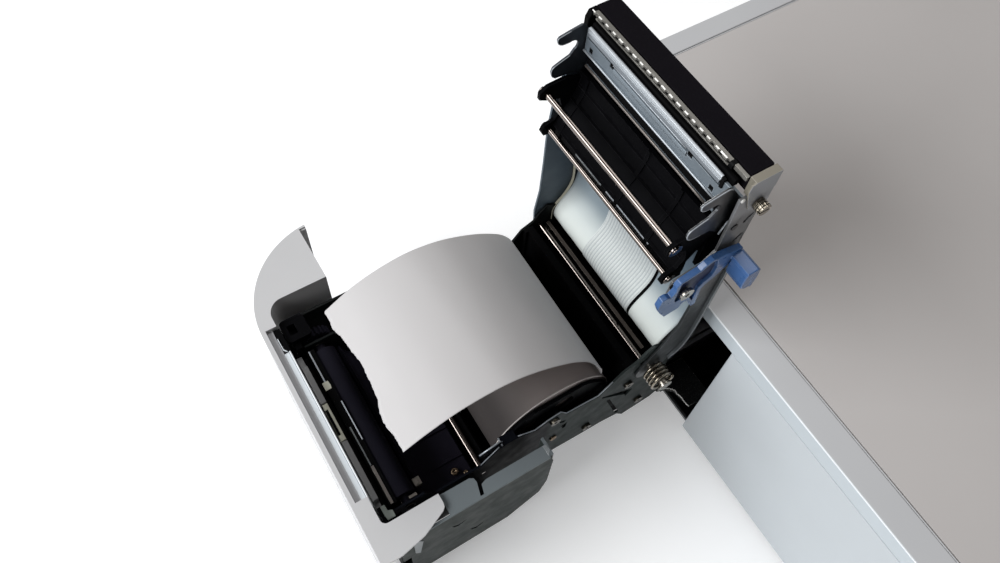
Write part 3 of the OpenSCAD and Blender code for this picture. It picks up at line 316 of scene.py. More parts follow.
    "bearing_grey": material("bearing_grey", srgb(150, 144, 136), rough=0.35, metal=0.5, var=0.2, var_scale=300, grain=900, grain_h=0.000002, grain_d=2, wear=(220, 214, 204), wear_amt=0.8),
    # lever_blue_shaded: a darker copy of the lever blue, for the floor of its channel: painted shade
    "lever_blue_shaded": material("lever_blue_shaded", srgb(34, 44, 78), rough=0.45, var=0.12, grain=1500, grain_h=0.000008, spec=0.2, wear=(70, 90, 140), wear_amt=0.5),
    "clip_black": material("clip_black", srgb(12, 12, 13), rough=0.5, var=0.2, grain=1500, grain_h=0.000006, spec=0.05, wear=(60, 60, 62), wear_amt=0.5),
    "pale_green": material("pale_green", srgb(134, 144, 137), rough=0.45, var=0.08, grain=1500, grain_h=0.000010, wear=(200, 204, 200), wear_amt=0.6),
}

NODE_MAT = {
    "base_plate": "dark_steel", "side_shell": "white_shell", "front_panel": "white_shell", "top_cover": "cover_white", "top_panel": "lid_white",
    "bay_liner": "deep_black", "rubber_feet": "foot_rubber", "housing_screws": "screw_steel", "main_board": "pcb", "board_standoffs": "brass",
    "power_supply": "zinc", "io_sockets": "black_plastic", "slide_outer": "zinc", "slide_middle": "zinc", "slide_inner": "zinc",
    "fascia": "fascia_grey", "fascia_insert": "insert_white", "tray": "grey_green", "side_plate_right": "plate_green", "side_plate_left": "plate_green_shaded",
    "bucket": "deep_black", "front_guide": "blue_black", "front_frame": "deep_black", "exit_segments": "dark_grey", "paper_sensor": "cream",
    "fixed_blade": "steel", "end_blocks": "black_plastic", "rear_guide": "deep_black", "rear_link": "flap_black", "roll_guides": "black_plastic",
    "feed_motor": "zinc", "motor_pinion": "brass", "idler_gear": "gear_black", "platen_roller": "rubber", "front_shaft": "steel",
    "rear_shaft": "steel", "hinge_pins": "screw_steel", "platen_bushes": "screw_dark", "hinge_spring": "spring_steel", "module_screws": "screw_dark",
    "paper_roll": "roll_paper_shaded", "paper_leader": "paper", "cover_back": "blue_grey", "cover_plate_right": "grey_sheet", "cover_plate_left": "dark_blue",
    "guide_moulding": "black_plastic", "upper_rod": "steel", "lower_rod": "steel", "print_head": "blue_grey", "head_springs": "spring_steel",
    "cutter_blade": "blade_steel", "cutter_motor": "zinc", "tear_bar": "tear_steel", "top_bar": "bar_black", "bar_bracket": "warm_steel",
    "thumbscrew": "spring_steel", "release_lever": "lever_blue", "lever_screw": "screw_steel", "latch_frame": "satin_steel", "flex_cable": "flex",
}
BEVEL = {"fascia": 0.9, "top_cover": 1.2, "top_panel": 0.5, "side_shell": 0.8, "front_panel": 0.5, "release_lever": 0.7, "top_bar": 0.6,
         "guide_moulding": 0.25, "end_blocks": 0.5, "tray": 0.25, "latch_frame": 0.22, "print_head": 0.15, "rear_guide": 0.5, "rubber_feet": 0.8,
         "front_guide": 0.5, "exit_segments": 0.4, "paper_sensor": 0.3, "roll_guides": 0.3, "bar_bracket": 0.25, "cover_back": 0.2,
         "cover_plate_right": 0.18, "cover_plate_left": 0.18, "side_plate_right": 0.18, "side_plate_left": 0.18, "bucket": 0.4}
for n, o in N.items():
    o.data.materials.clear()
    o.data.materials.append(MAT[NODE_MAT[n]])
    if n in ("head_springs", "hinge_spring"):
        continue
    w = o.modifiers.new("weld", "WELD")
    w.merge_threshold = 0.00001
    b = o.modifiers.new("bevel", "BEVEL")
    b.width = BEVEL.get(n, 0.15) / 1000
    b.segments = 3 if n in ("fascia", "release_lever", "top_cover", "top_bar") else 2
    b.limit_method = "ANGLE"
    b.angle_limit = math.radians(38)
    b.use_clamp_overlap = True
    b.harden_normals = False
    b.miter_outer = "MITER_ARC"
    wn = o.modifiers.new("normals", "WEIGHTED_NORMAL")
    wn.weight = 90
    wn.keep_sharp = True


# ------------------------------------------------------------------ mesh helpers
def link(name, me, mat, body, smooth=True):
    o = bpy.data.objects.new(name, me)
    SC.collection.objects.link(o)
    me.materials.append(MAT[mat])
    if smooth:
        for p in me.polygons:
            p.use_smooth = True
    if body:
        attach(o, body)
    return o


def cat(pts, n):
    """n points on a Catmull-Rom curve through pts, evenly spaced by parameter."""
    P = [np.array(p, float) for p in pts]
    P = [2 * P[0] - P[1]] + P + [2 * P[-1] - P[-2]]
    m = len(P) - 3
    out = []
    for i in range(n):
        t = i / (n - 1) * m
        k = min(int(t), m - 1)
        u = t - k
        a, b, c, d = P[k:k + 4]
        out.append(0.5 * ((2 * b) + (-a + c) * u + (2 * a - 5 * b + 4 * c - d) * u * u + (-a + 3 * b - 3 * c + d) * u ** 3))
    return out


def grid_sheet(name, rows, thick, mat, body, flip=False, edge_mat=None):
    """A thin closed sheet from rows of points (mm, layout frame), given a thickness by moving a copy along the normals."""
    nu, nv = len(rows), len(rows[0])
    A = np.array([[list(V(*p)) for p in r] for r in rows])
    du = np.gradient(A, axis=0)
    dv = np.gradient(A, axis=1)
    nn = np.cross(du, dv)
    nn /= np.linalg.norm(nn, axis=2, keepdims=True) + 1e-12
    if flip:
        nn = -nn
    B = A - nn * thick / 1000
    me = bpy.data.meshes.new(name)
    verts = [tuple(p) for p in A.reshape(-1, 3)] + [tuple(p) for p in B.reshape(-1, 3)]
    o = nu * nv
    f = []
    idx = lambda i, j: i * nv + j
    for i in range(nu - 1):
        for j in range(nv - 1):
            f.append((idx(i, j), idx(i + 1, j), idx(i + 1, j + 1), idx(i, j + 1)))
            f.append((o + idx(i, j), o + idx(i, j + 1), o + idx(i + 1, j + 1), o + idx(i + 1, j)))
    for i in range(nu - 1):
        f.append((idx(i, 0), o + idx(i, 0), o + idx(i + 1, 0), idx(i + 1, 0)))
        f.append((idx(i, nv - 1), idx(i + 1, nv - 1), o + idx(i + 1, nv - 1), o + idx(i, nv - 1)))
    for j in range(nv - 1):
        f.append((idx(0, j), idx(0, j + 1), o + idx(0, j + 1), o + idx(0, j)))
        f.append((idx(nu - 1, j), o + idx(nu - 1, j), o + idx(nu - 1, j + 1), idx(nu - 1, j + 1)))
    me.from_pydata(verts, [], f)
    me.validate()
    bm = bmesh.new()
    bm.from_mesh(me)
    bmesh.ops.recalc_face_normals(bm, faces=bm.faces)
    bm.to_mesh(me)
    bm.free()
    ob = link(name, me, mat, body)
    return ob


def tube(name, pts, r, mat, body, sides=14, closed_ends=True):
    """A round wire along points (mm)."""
    P = np.array([list(V(*p)) for p in pts])
    n = len(P)
    T = np.gradient(P, axis=0)
    T /= np.linalg.norm(T, axis=1, keepdims=True) + 1e-12
    ref = np.array([0, 0, 1.0]) if abs(T[0][2]) < 0.9 else np.array([1.0, 0, 0])
    u = np.cross(T[0], ref)
    u /= np.linalg.norm(u)
    verts = []
    for i in range(n):
        u = u - T[i] * (u @ T[i])
        u /= np.linalg.norm(u)
        w = np.cross(T[i], u)
        rr = (r[i] if hasattr(r, "__len__") else r) / 1000
        for k in range(sides):
            a = 2 * math.pi * k / sides
            verts.append(tuple(P[i] + rr * (math.cos(a) * u + math.sin(a) * w)))
    f = []
    for i in range(n - 1):
        for k in range(sides):
            f.append((i * sides + k, i * sides + (k + 1) % sides, (i + 1) * sides + (k + 1) % sides, (i + 1) * sides + k))
    f.append(tuple(range(sides))[::-1])
    f.append(tuple((n - 1) * sides + k for k in range(sides)))
    me = bpy.data.meshes.new(name)
    me.from_pydata(verts, [], f)
    return link(name, me, mat, body)


def bevel_mod(o, w, seg=3, ang=35):
    b = o.modifiers.new("bevel", "BEVEL")
    b.width = w / 1000
    b.segments = seg
    b.limit_method = "ANGLE"
    b.angle_limit = math.radians(ang)
    return o


def prism(name, poly, axis, a, b, mat, body, bev=0.3, seg=3, holes=()):
    """An outline in the plane across axis, from a to b along it; edges rounded. Outline pairs: x: (y, z); y: (x, z); z: (x, y)."""
    def pt(p, t):
        return {"x": V(t, p[0], p[1]), "y": V(p[0], t, p[1]), "z": V(p[0], p[1], t)}[axis]
    bm = bmesh.new()
    lo = [bm.verts.new(pt(p, a)) for p in poly]
    hi = [bm.verts.new(pt(p, b)) for p in poly]
    bm.faces.new(lo)
    bm.faces.new(hi[::-1])
    n = len(poly)
    for i in range(n):
        bm.faces.new((lo[i], lo[(i + 1) % n], hi[(i + 1) % n], hi[i]))
    bmesh.ops.recalc_face_normals(bm, faces=bm.faces)
    me = bpy.data.meshes.new(name)
    bm.to_mesh(me)
    bm.free()
    o = link(name, me, mat, body, smooth=False)
    if bev:
        bevel_mod(o, bev, seg)
    return o


def block(name, a, b, mat, body, bev=0.3, seg=3):
    return prism(name, [(a[0], a[1]), (b[0], a[1]), (b[0], b[1]), (a[0], b[1])], "z", a[2], b[2], mat, body, bev, seg)


def lathe(name, prof, centre, axis, mat, body, seg=48):
    """prof: (distance along axis, radius) in mm, closed at both ends on the axis."""
    c = V(*centre)
    ax = {"x": (Vector((1, 0, 0)), Vector((0, 1, 0)), Vector((0, 0, 1))), "y": (Vector((0, 1, 0)), Vector((0, 0, 1)), Vector((1, 0, 0))), "z": (Vector((0, 0, 1)), Vector((1, 0, 0)), Vector((0, 1, 0)))}[axis]
    bm = bmesh.new()
    rings = []
    for t, r in prof:
        if r < 1e-6:
            rings.append([bm.verts.new(c + ax[0] * t / 1000)])
        else:
            rings.append([bm.verts.new(c + ax[0] * t / 1000 + (ax[1] * math.cos(2 * math.pi * k / seg) + ax[2] * math.sin(2 * math.pi * k / seg)) * r / 1000) for k in range(seg)])
    for p, q in zip(rings, rings[1:]):
        if len(p) == 1 and len(q) == 1:
            continue
        for k in range(seg):
            k2 = (k + 1) % seg
            if len(p) == 1:
                bm.faces.new((p[0], q[k], q[k2]))
            elif len(q) == 1:
                bm.faces.new((p[k], q[0], p[k2]))
            else:
                bm.faces.new((p[k], q[k], q[k2], p[k2]))
    bmesh.ops.recalc_face_normals(bm, faces=bm.faces)
    me = bpy.data.meshes.new(name)
    bm.to_mesh(me)
    bm.free()
    o = link(name, me, mat, body)
    return o


# ------------------------------------------------------------------ paper
NEAR = [(131.0, 88.0), (130.2, 94.5), (126.7, 101.7), (121.8, 111.5), (116.6, 119.1), (107.4, 128.2), (93.4, 137.6), (80.7, 143.4), (68.7, 145.6), (52.6, 144.6), (38, 139.6), (26.6, 133.6)]
FAR = [(131.0, 88.0), (130.4, 94), (128.4, 101.0), (123, 109.5), (116, 116.2), (105, 124), (91, 131), (79.5, 134.2), (68, 135), (54.5, 132.6), (42, 128), (32.5, 121.8)]
nn_, nf_ = cat(NEAR, 90), cat(FAR, 90)
# the torn front edge wanders by a millimetre or two across the width
rows = []
NU = 161
for i in range(NU):
    s = i / (NU - 1)
    x = -40 + 80 * s
    cut = 0.7 * math.sin(s * 6.0 + 0.4) + 0.35 * math.sin(s * 17 + 1)
    cut += 4.6 * math.exp(-((s - 0.11) / 0.16) ** 2) + 1.2 * math.exp(-(s / 0.04) ** 2) + 2.4 * math.exp(-((s - 0.8) / 0.11) ** 2) - 0.8 * math.exp(-((s - 0.43) / 0.1) ** 2)
    for q, (f, h) in enumerate(((13, 0.5), (31, 0.42), (67, 0.3), (140, 0.2))):
        cut += h * noise.noise(Vector((s * f + 7.3 * q, 1.7, 0.4)))
    r = []
    for k in range(90):
        a, b = nf_[k], nn_[k]
        w = s * s * (3 - 2 * s) * 0.25 + s * 0.75
        y, z = a[0] * (1 - w) + b[0] * w, a[1] * (1 - w) + b[1] * w
        t = k / 89
        z += 0.5 * math.sin(math.pi * s) * t * (1 - t) * 4
        r.append([x, y, z])
    # stretch the last rows to the torn line
    for k in range(76, 90):
        f = ((k - 76) / 13) ** 2
        r[k][1] -= cut * f * 0.75
        r[k][2] -= cut * f * 0.45
    rows.append(r)
sheet = grid_sheet("paper_sheet", rows, 0.12, "paper", "drawer")
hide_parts("paper_leader")
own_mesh(sheet)

# ------------------------------------------------------------------ cover film and its flat cable
FILM = [(160.6, 91.2), (159, 94.4), (158.2, 98.5), (159, 102.6), (161.3, 106.8), (164.4, 111), (167.2, 115.5), (168.6, 120.5), (169.2, 127), (169.8, 140), (170, 168)]


def film_rows(xs, offs, prof=FILM, n=48):
    """Rows along the film's profile at each x, standing off it by the given amount (mm)."""
    A = np.array(cat(prof, n))
    T = np.gradient(A, axis=0)
    T /= np.linalg.norm(T, axis=1, keepdims=True)
    return [[[x, A[k][0] - T[k][1] * o, A[k][1] + T[k][0] * o] for k in range(n)] for x, o in zip(xs, offs)]


def across(o):
    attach(o, "cover")
    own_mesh(o)
    return o


def ramp_x(a, b, n):
    return [a + (b - a) * i / (n - 1) for i in range(n)]


xs = ramp_x(-44.6, 20.4, 40)
film = grid_sheet("film_left", film_rows(xs, [0.25 + 0.05 * math.sin(x * 0.5) for x in xs]), 0.25, "film", None)
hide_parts("flex_cable")
across(film)
xs = ramp_x(22.4, 44.6, 16)
across(grid_sheet("film_right", film_rows(xs, [0.42 + 0.04 * math.sin(x * 0.7) for x in xs]), 0.25, "film", None))
# a black strip behind the gap between the two films: painted shadow of the flat cable's lifted edge
xs = ramp_x(19.6, 23.4, 5)
across(grid_sheet("film_gap_shadow", film_rows(xs, [0.0] * 5), 0.2, "deep_black", None))
# flat cable: thin carrier with raised conductors running up it
xs, offs = [-17.5, -17.0], [0.52, 0.52]
COND = []
for i in range(22):
    a = -16.7 + 1.70 * i
    xs += [a, a + 0.12, a + 0.98, a + 1.10]
    offs += [0.52, 0.64, 0.64, 0.52]
    COND.append((a, a + 1.1))
xs += [20.4, 20.8]
offs += [0.52, 0.66]
cable = grid_sheet("flat_cable", film_rows(xs, offs), 0.2, "flex", None)
cable.data.materials.append(MAT["flex_gap"])
for f in cable.data.polygons:
    x = f.center.x * 1000 + OX
    f.material_index = 0 if any(a - 0.01 < x < b + 0.01 for a, b in COND) or x < -16.9 or x > 20.3 else 1
    f.use_smooth = False
across(cable)
HEM = [(157.3, 91.5), (157.2, 96), (157.6, 101), (160, 104.5), (163.5, 108.5), (166.6, 115), (167.6, 121), (167, 131)]
hem = grid_sheet("film_hem", [[[x, y + 0.15 * (x + 45.7), z] for y, z in cat(HEM, 40)] for x in (-46.4, -46.0, -45.5, -45.0)], 0.35, "hem", None)
across(hem)

# ------------------------------------------------------------------ print head trim
tube("head_lip_bar", [(x, 157.45, 214.9) for x in ramp_x(-43.3, 38.9, 12)], 0.48, "bright_steel", "cover", 16)
tube("head_guard_bar", [(x, 158.4, 207.5) for x in ramp_x(-41.4, 35.9, 12)], 0.62, "guard_brown", "cover", 14)
# a black strip set into the gap under the head: painted shade of the gap
prism("head_gap", [(158.85, 208.2), (158.85, 214.1), (159.08, 214.1), (159.08, 208.2)], "x", -41.4, 41.4, "deep_black", "cover", 0.03)
prism("blade_skirt", [(157.38, 225.4), (157.1, 225.3), (156.87, 223.7), (157.02, 223.45), (157.22, 224.2), (157.38, 224.4)], "x", -42.2, 38.6, "blade_steel", "blade", 0.06)
tube("blade_lower_edge", [(x, 156.82, 223.4) for x in ramp_x(-24.4, 20.8, 8)], 0.22, "bright_steel", "blade", 12)
prism("head_seal", [(159.4, 225), (159.4, 227.6), (160, 228.2), (161.4, 228.2), (161.6, 227.8), (161.6, 225)], "x", -43, 43, "deep_black", "cover", 0.25)
for k, (a, b) in enumerate(((-42.8, -27.4), (23.8, 40.3))):
    prism("head_fill_%d" % k, [(159.27, 221.5), (159.27, 223.4), (159.75, 223.6), (159.75, 221.5)], "x", a, b, "deep_black", "cover", 0.1)
for k, (a, b, c, d) in enumerate(((-40.5, -38.5, 215.7, 218.3), (35.1, 37.1, 215.7, 218.3), (-27.3, -24.9, 219.7, 221.4), (21.3, 23.7, 219.7, 221.4))):
    prism("head_pocket_%d" % k, [(a, c), (b, c), (b, d - 1.0), (b - 0.7, d), (a, d)], "y", 158.3, 159.05, "deep_black", "cover", 0.05)
prism("head_clip_near", [(157.2, 222.0), (157.2, 226.3), (158.6, 226.9), (158.8, 222.0)], "x", 38.95, 40.3, "clip_black", "cover", 0.2)
prism("tear_clip_near", [(160.9, 228.6), (160.9, 230.6), (161.6, 231.3), (163.5, 231.3), (163.5, 228.6)], "x", 36.7, 38.7, "clip_black", "cover", 0.25)
# bright facets on the teeth, each ground a little differently; their near-white steel is a painted highlight
rnd = random.Random(7)
TP = 84.2 / 19
for i in range(19):
    x = -47.6 + (i + 0.41) * TP
    w, t, sh = 0.85 + 0.42 * rnd.random(), 0.05 * rnd.random(), 0.3 * rnd.uniform(-1, 1)
    if i == 18:
        w, sh = 1.9, -0.6
    x += sh
    bm = bmesh.new()
    lo = [(x - w, 161.62 + t, 230.95), (x + w, 161.62 + t, 230.95), (x + w * 0.92, 160.98, 230.9), (x - w * 0.92, 160.98, 230.9)]
    hi = [(x - w * 0.94, 161.55, 231.12 + 0.1 * rnd.random()), (x + w * 0.94, 161.55, 231.12 + 0.1 * rnd.random()), (x + w * 0.86, 161.04, 231.03), (x - w * 0.86, 161.04, 231.03)]
    vl, vh = [bm.verts.new(V(*p)) for p in lo], [bm.verts.new(V(*p)) for p in hi]
    bm.faces.new(vl[::-1])
    bm.faces.new(vh)
    for k in range(4):
        bm.faces.new((vl[k], vl[(k + 1) % 4], vh[(k + 1) % 4], vh[k]))
    bmesh.ops.recalc_face_normals(bm, faces=bm.faces)
    me = bpy.data.meshes.new("tooth_facet_%02d" % i)
    bm.to_mesh(me)
    bm.free()
    link("tooth_facet_%02d" % i, me, "glint_steel", "cover", smooth=False)
prism("tear_bar_groove", [(161.5, 229.4), (161.5, 229.9), (161.85, 229.9), (161.85, 229.4)], "x", -43.5, 36.5, "deep_black", "cover", 0.05)

# black end piece of the head at its far end
prism("head_end_far", [(159, 222.5), (159, 228), (160.4, 231), (164, 231.2), (164, 222.5)], "x", -48, -45.2, "deep_black", "cover", 0.4)
# bright wires along the outlines of the two latch hooks: painted highlights where light catches the cut edges
HOOK = [(157.4, 227.25), (155.6, 228.0), (150.4, 227.1), (145.2, 226.05), (144.5, 225), (144.9, 223.2), (147, 221.7), (150.6, 221.5)]
HOOK2 = [(151.6, 213.8), (147.6, 212.3), (144, 210.6), (143.3, 208.4), (143.9, 206), (145.8, 204.1), (150.4, 203.6)]
for k, (x, h) in enumerate(((44.86, HOOK), (44.86, HOOK2), (-44.05, HOOK[2:]), (-44.05, HOOK2[:6]))):
    tube("latch_edge_%d" % k, [(x, y, z) for y, z in cat(h, 30)], 0.24 if x > 0 else 0.2, "bright_steel", "latch", 8)

# ------------------------------------------------------------------ guide moulding trim
prism("guide_strip_far", [(146.7, 175.2), (146.7, 176.1), (147.3, 176.2), (147.3, 175.1)], "x", -24.7, -5.9, "turned_sheet", "cover", 0.1)
prism("guide_strip_near", [(146.7, 175.2), (146.7, 176.1), (147.3, 176.2), (147.3, 175.1)], "x", -2.3, 27.3, "bright_steel", "cover", 0.1)

# ------------------------------------------------------------------ near cover plate: rear edge turned outward
EDGE = [(173.4, 171), (173.5, 150), (173.4, 128), (173, 110), (171.4, 98), (168.4, 91.4), (164.4, 87.4)]
path = cat(EDGE, 40)
rows = []
for x in (47.9, 48.3, 48.8, 49.2, 49.5):
    lift = 0.5 * max(0, x - 49.0)
    rows.append([[x, y - lift, z] for y, z in path])
grid_sheet("cover_plate_turned_edge", rows, 0.9, "turned_sheet", "cover", flip=True)

# ------------------------------------------------------------------ lever: floor of its channel in a darker copy of the lever blue (painted shade), black bracket beside it with a bright wire along its edge (painted highlight)
prism("lever_channel", [(142.8, 178), (142.8, 183.8), (146.6, 184.9), (151.3, 186.0), (153.8, 188.0), (156.3, 189.3), (158.4, 188.7), (160.2, 182),
                        (159.8, 176.8), (156.2, 174.2), (154.6, 171.5), (154.6, 161.0), (151.8, 166.2), (148.7, 169.4), (143.6, 169.4), (142.8, 172.2)],
      "x", 50.41, 50.5, "lever_blue_shaded", "lever", 0.02)
prism("lever_pad_body", [(166.4, 184.0), (166.4, 176.6), (167.1, 174.2), (168.8, 172.6), (171.4, 172.2), (172.5, 173.2), (172.8, 179), (172.1, 184.6), (171.0, 185.6), (167.2, 185.2)],
      "x", 52.2, 61.85, "lever_blue", "lever", 0.5)
BRK = [(140.9, 178.2), (141.8, 180.2), (145.2, 182.2), (149.8, 182.9), (153.9, 185.4), (158.6, 188.2), (160.8, 186), (160.6, 180), (156, 176), (150, 174), (143.4, 172)]
prism("lever_bracket", BRK, "x", 48.15, 48.95, "clip_black", "cover", 0.12)
# a bright wire along the bracket's top edge: painted highlight
tube("lever_bracket_edge", [(48.8, y, z + 0.1) for y, z in cat(BRK[1:6], 24)], 0.2, "bright_steel", "cover", 8)
tube("latch_spring_leg", [(46.2, 159.4, 199.2), (46.2, 160.5, 202.7), (46.2, 161.6, 206.2)], 0.35, "bright_steel", "cover", 10)
# a small bright pin end at the plate's corner, its near-white steel a painted glint
lathe("plate_pin", [(0, 0), (0, 1.0), (0.35, 1.0), (0.55, 0.75), (0.6, 0)], (48.0, 161.2, 221.6), "x", "glint_steel", "cover", 24)

# ------------------------------------------------------------------ lid: thin bead that stands in the groove
gx0, gx1, gy0, gy1, gr = -104.6 + 13.55, 225.4 - 13.55, 184 + 15.35, 494 - 15.35, 2.6
ring = []
for cx, cy, a0 in ((gx1 - gr, gy0 + gr, -90), (gx1 - gr, gy1 - gr, 0), (gx0 + gr, gy1 - gr, 90), (gx0 + gr, gy0 + gr, 180)):
    for k in range(9):
        a = math.radians(a0 + 90 * k / 8)
        ring.append((cx, cy, math.cos(a), math.sin(a)))
bm = bmesh.new()
loops = []
for d, z in ((-0.33, 113.7), (-0.33, 114.62), (-0.2, 114.74), (0.2, 114.74), (0.33, 114.62), (0.33, 113.7)):
    loops.append([bm.verts.new(V(cx + (gr + d) * c, cy + (gr + d) * sn, z)) for cx, cy, c, sn in ring])
for a in range(6):
    A, B = loops[a], loops[(a + 1) % 6]
    for k in range(len(ring)):
        k2 = (k + 1) % len(ring)
        bm.faces.new((A[k], A[k2], B[k2], B[k]))
bmesh.ops.recalc_face_normals(bm, faces=bm.faces)
me = bpy.data.meshes.new("lid_bead")
bm.to_mesh(me)
bm.free()
link("lid_bead", me, "cover_white", "housing", smooth=False)

# dark rings round the thumbscrew's head, in a darker steel than the knob: painted shade in its grooves
for k, x in enumerate((50.0, 51.2, 52.4)):
    lathe("knob_groove_%d" % k, [(0, 0), (0, 2.76), (0.08, 2.8), (0.32, 2.8), (0.4, 2.76), (0.4, 0)], (x, 168.9, 216.8), "x", "screw_dark", "screw_knob", 40)
# painted highlight: a bright white bead along the frame's front edge, standing in for light on its rounded edge
tube("frame_front_highlight", [(-56.6 + 47.6 * math.cos(math.radians(a)), 232 + 47.6 * math.sin(math.radians(a)), 114.6) for a in range(180, 270, 6)]
     + [(x, 184.4, 114.6) for x in ramp_x(-56.6, 221.5, 24)], 0.4, "bead_highlight_white", "housing", 12)

# ------------------------------------------------------------------ drawer: rear shaft plate
prism("rear_shaft_plate", [(153.9, 91.5), (153.9, 92.1), (155.6, 92.3), (155.6, 91.5)], "x", -44.5, 40, "shaft_plate", "drawer", 0.08)

# ------------------------------------------------------------------ hinge spring: one smooth wire, its coil with one arm
pts = []
for k in range(0, 161):
    a = 2 * math.pi * 4 * k / 160
    pts.append((49.6 + 8.0 * k / 160, 156 + 5.6 * math.cos(a + 0.4), 84 + 5.6 * math.sin(a + 0.4)))
x, y, z = pts[-1]
tail = [(57.7, 156 + 5.6 * math.cos(0.75), 84 + 5.6 * math.sin(0.75) - 0.0), (57.6, 156 + 5.2, 84 + 4.4)]
head = [(49.2, 162.4, 62.4), (49.2, 162.4, 66), (49.2, 162.2, 74), (49.4, 161.8, 82)]
tube("hinge_spring_wire", cat(head + pts[4:], 260), 0.8, "spring_steel", "drawer", 12)
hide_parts("hinge_spring")

# ------------------------------------------------------------------ near side plate: bright wires along its edges (painted highlights where light catches the bare cut edges), a rest, and a black piece behind the slit (painted shade where the slit shows through)
tube("plate_edge_front", [(45.9, 60.6, 76.3), (45.9, 65, 81.9), (45.9, 69.9, 88.1)], 0.32, "bright_steel", "drawer", 10)
tube("plate_edge_mid", [(45.9, y, z) for y, z in ((80.2, 88.2), (85, 85.3), (89.8, 82.3), (93.5, 83.9), (97, 85.7), (100.5, 86.5), (103.8, 87.1), (106, 83.6), (108, 80.3), (112, 79.9), (118, 79.3), (127, 78.1), (130.5, 82.4), (134, 87.0))], 0.3, "bright_steel", "drawer", 10)
prism("arm_rest", [(60, 84.8), (60.4, 86.8), (70.8, 90.4), (72.4, 88.6), (72.4, 87), (70, 86.2), (66, 83)], "x", 44, 45.3, "plate_green", "drawer", 0.2)
tube("arm_rest_edge", [(44.5, 60.3, 86.9), (44.5, 65.5, 88.7), (44.5, 70.9, 90.5), (44.5, 72.3, 88.8)], 0.42, "bright_steel", "drawer", 10)
tube("plate_tab_edge", [(42, 71.7, 88.1), (44, 71.6, 88.2), (46.2, 71.6, 88.2)], 0.4, "bright_steel", "drawer", 10)
prism("plate_slit_shade", [(132.8, 64.2), (137.8, 63.2), (149.8, 28), (145.2, 28)], "x", 44.35, 44.85, "deep_black", "drawer", 0.06)
# ------------------------------------------------------------------ tray: flange end, small bracket
prism("flange_end", [(56.6, 86.2), (61.6, 86.2), (59.8, 88.2), (56.6, 88.2)], "z", 92.0, 92.25, "turned_sheet", "drawer", 0.1)
prism("side_bracket", [(16.2, 65.6), (16.2, 91), (20.8, 79.5), (18.6, 61)], "x", 62.7, 63.3, "flange_grey", "drawer", 0.2)
# ------------------------------------------------------------------ paper exit: blade trim
fl_ = prism("insert_floor", [(2.5, 84), (2.5, 91.5), (5.3, 91.6), (5.3, 84)], "x", -57.5, 36.6, "insert_shade", "drawer", 0.1)
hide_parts("fascia_insert")
prism("insert_strip", [(5.3, 84), (5.3, 91.7), (7.5, 92.0), (7.7, 84)], "x", -43.6, 36.7, "insert_white", "drawer", 0.12)
# a white bead along the insert's edge, brighter than the insert: painted highlight
tube("insert_bead", [(x, 8.05, 92.6) for x in ramp_x(-43.4, 41.6, 10)], 0.42, "bead_highlight_white", "drawer", 12)
prism("insert_bead_foot", [(7.65, 86), (7.65, 92.5), (8.4, 92.5), (8.4, 86)], "x", -43.4, 41.6, "insert_white", "drawer", 0.05)
prism("insert_stop", [(-57.4, 5.4), (-52.6, 5.4), (-52, 6.6), (-45, 6.6), (-44, 7.6), (-44, 8.8), (-57.4, 8.8)], "z", 84, 91.9, "deep_black", "drawer", 0.2)
prism("insert_stop_edge", [(-52.4, 5.9), (-46, 6.0), (-44.1, 7.3), (-44.1, 7.0), (-45.6, 5.6), (-52.4, 5.5)], "z", 91.4, 92.3, "insert_white", "drawer", 0.05)
prism("blade_rail_far", [(15.7, 83.7), (15.7, 84.35), (16.4, 84.5), (16.6, 83.8)], "x", -42.8, -23.2, "bright_steel", "drawer", 0.08)
prism("blade_rail_clip", [(-24.6, 14.4), (-20.2, 14.4), (-20.2, 17.4), (-22, 17.8), (-24.6, 17.4)], "z", 83.7, 84.5, "cream", "drawer", 0.12)
prism("blade_rail_mid", [(16.3, 83.7), (16.3, 84.2), (17.0, 84.3), (17.1, 83.8)], "x", -12.9, -2.6, "bright_steel", "drawer", 0.08)
prism("blade_rail_thin", [(18.2, 84.4), (18.2, 85.0), (18.7, 85.1), (18.8, 84.4)], "x", -11.9, 9.8, "bright_steel", "drawer", 0.05)
prism("blade_rail_near", [(16.0, 83.7), (15.8, 84.4), (17.2, 84.5), (17.3, 83.9)], "x", 23.0, 42.6, "guard_brown", "drawer", 0.08)
prism("blade_rail_near_thin", [(16.0, 83.7), (15.9, 84.35), (16.5, 84.45), (16.6, 83.8)], "x", 1.4, 22.4, "flange_grey", "drawer", 0.05)
prism("blade_rail_carrier", [(14.9, 78), (14.9, 84.1), (18.7, 84.6), (17.4, 83.2), (16.6, 80), (16.2, 78)], "x", -43, 43, "deep_black", "drawer", 0.1)
prism("corner_cap", [(42.0, 10.9), (46.6, 10.9), (48.9, 11.4), (48.9, 15.2), (45.8, 15.2), (45, 13.2), (42.0, 13.0)], "z", 86.3, 87.1, "pale_green", "drawer", 0.2)
block("sensor_window", (-11, 9.9, 84.6), (3, 10.9, 85.2), "deep_black", "drawer", 0.1)
for k, (x, y, z, r) in enumerate(((38, 31.6, 74.6, 1.3), (38.6, 50.5, 61.8, 1.9), (41.5, 55.2, 61, 1.2))):
    lathe("guide_screw_%d" % k, [(0, 0), (0, r), (0.7, r), (0.95, r * 0.75), (0.95, r * 0.3), (0.5, r * 0.28), (0.5, 0)], (x, y, z), "z", "bronze", "drawer", 28)
block("near_bearing_face", (35.2, 29.4, 72.5), (39.4, 33.2, 76.6), "bearing_grey", "drawer", 0.35)
prism("near_bearing_lip", [(35.6, 29.8), (38.9, 29.5), (38.6, 31.4), (36.2, 31.8)], "z", 76.5, 77.0, "screw_steel", "drawer", 0.15)
block("near_cross_bar", (42.3, 20.4, 79.2), (43.75, 28.4, 80.1), "bearing_grey", "drawer", 0.25)
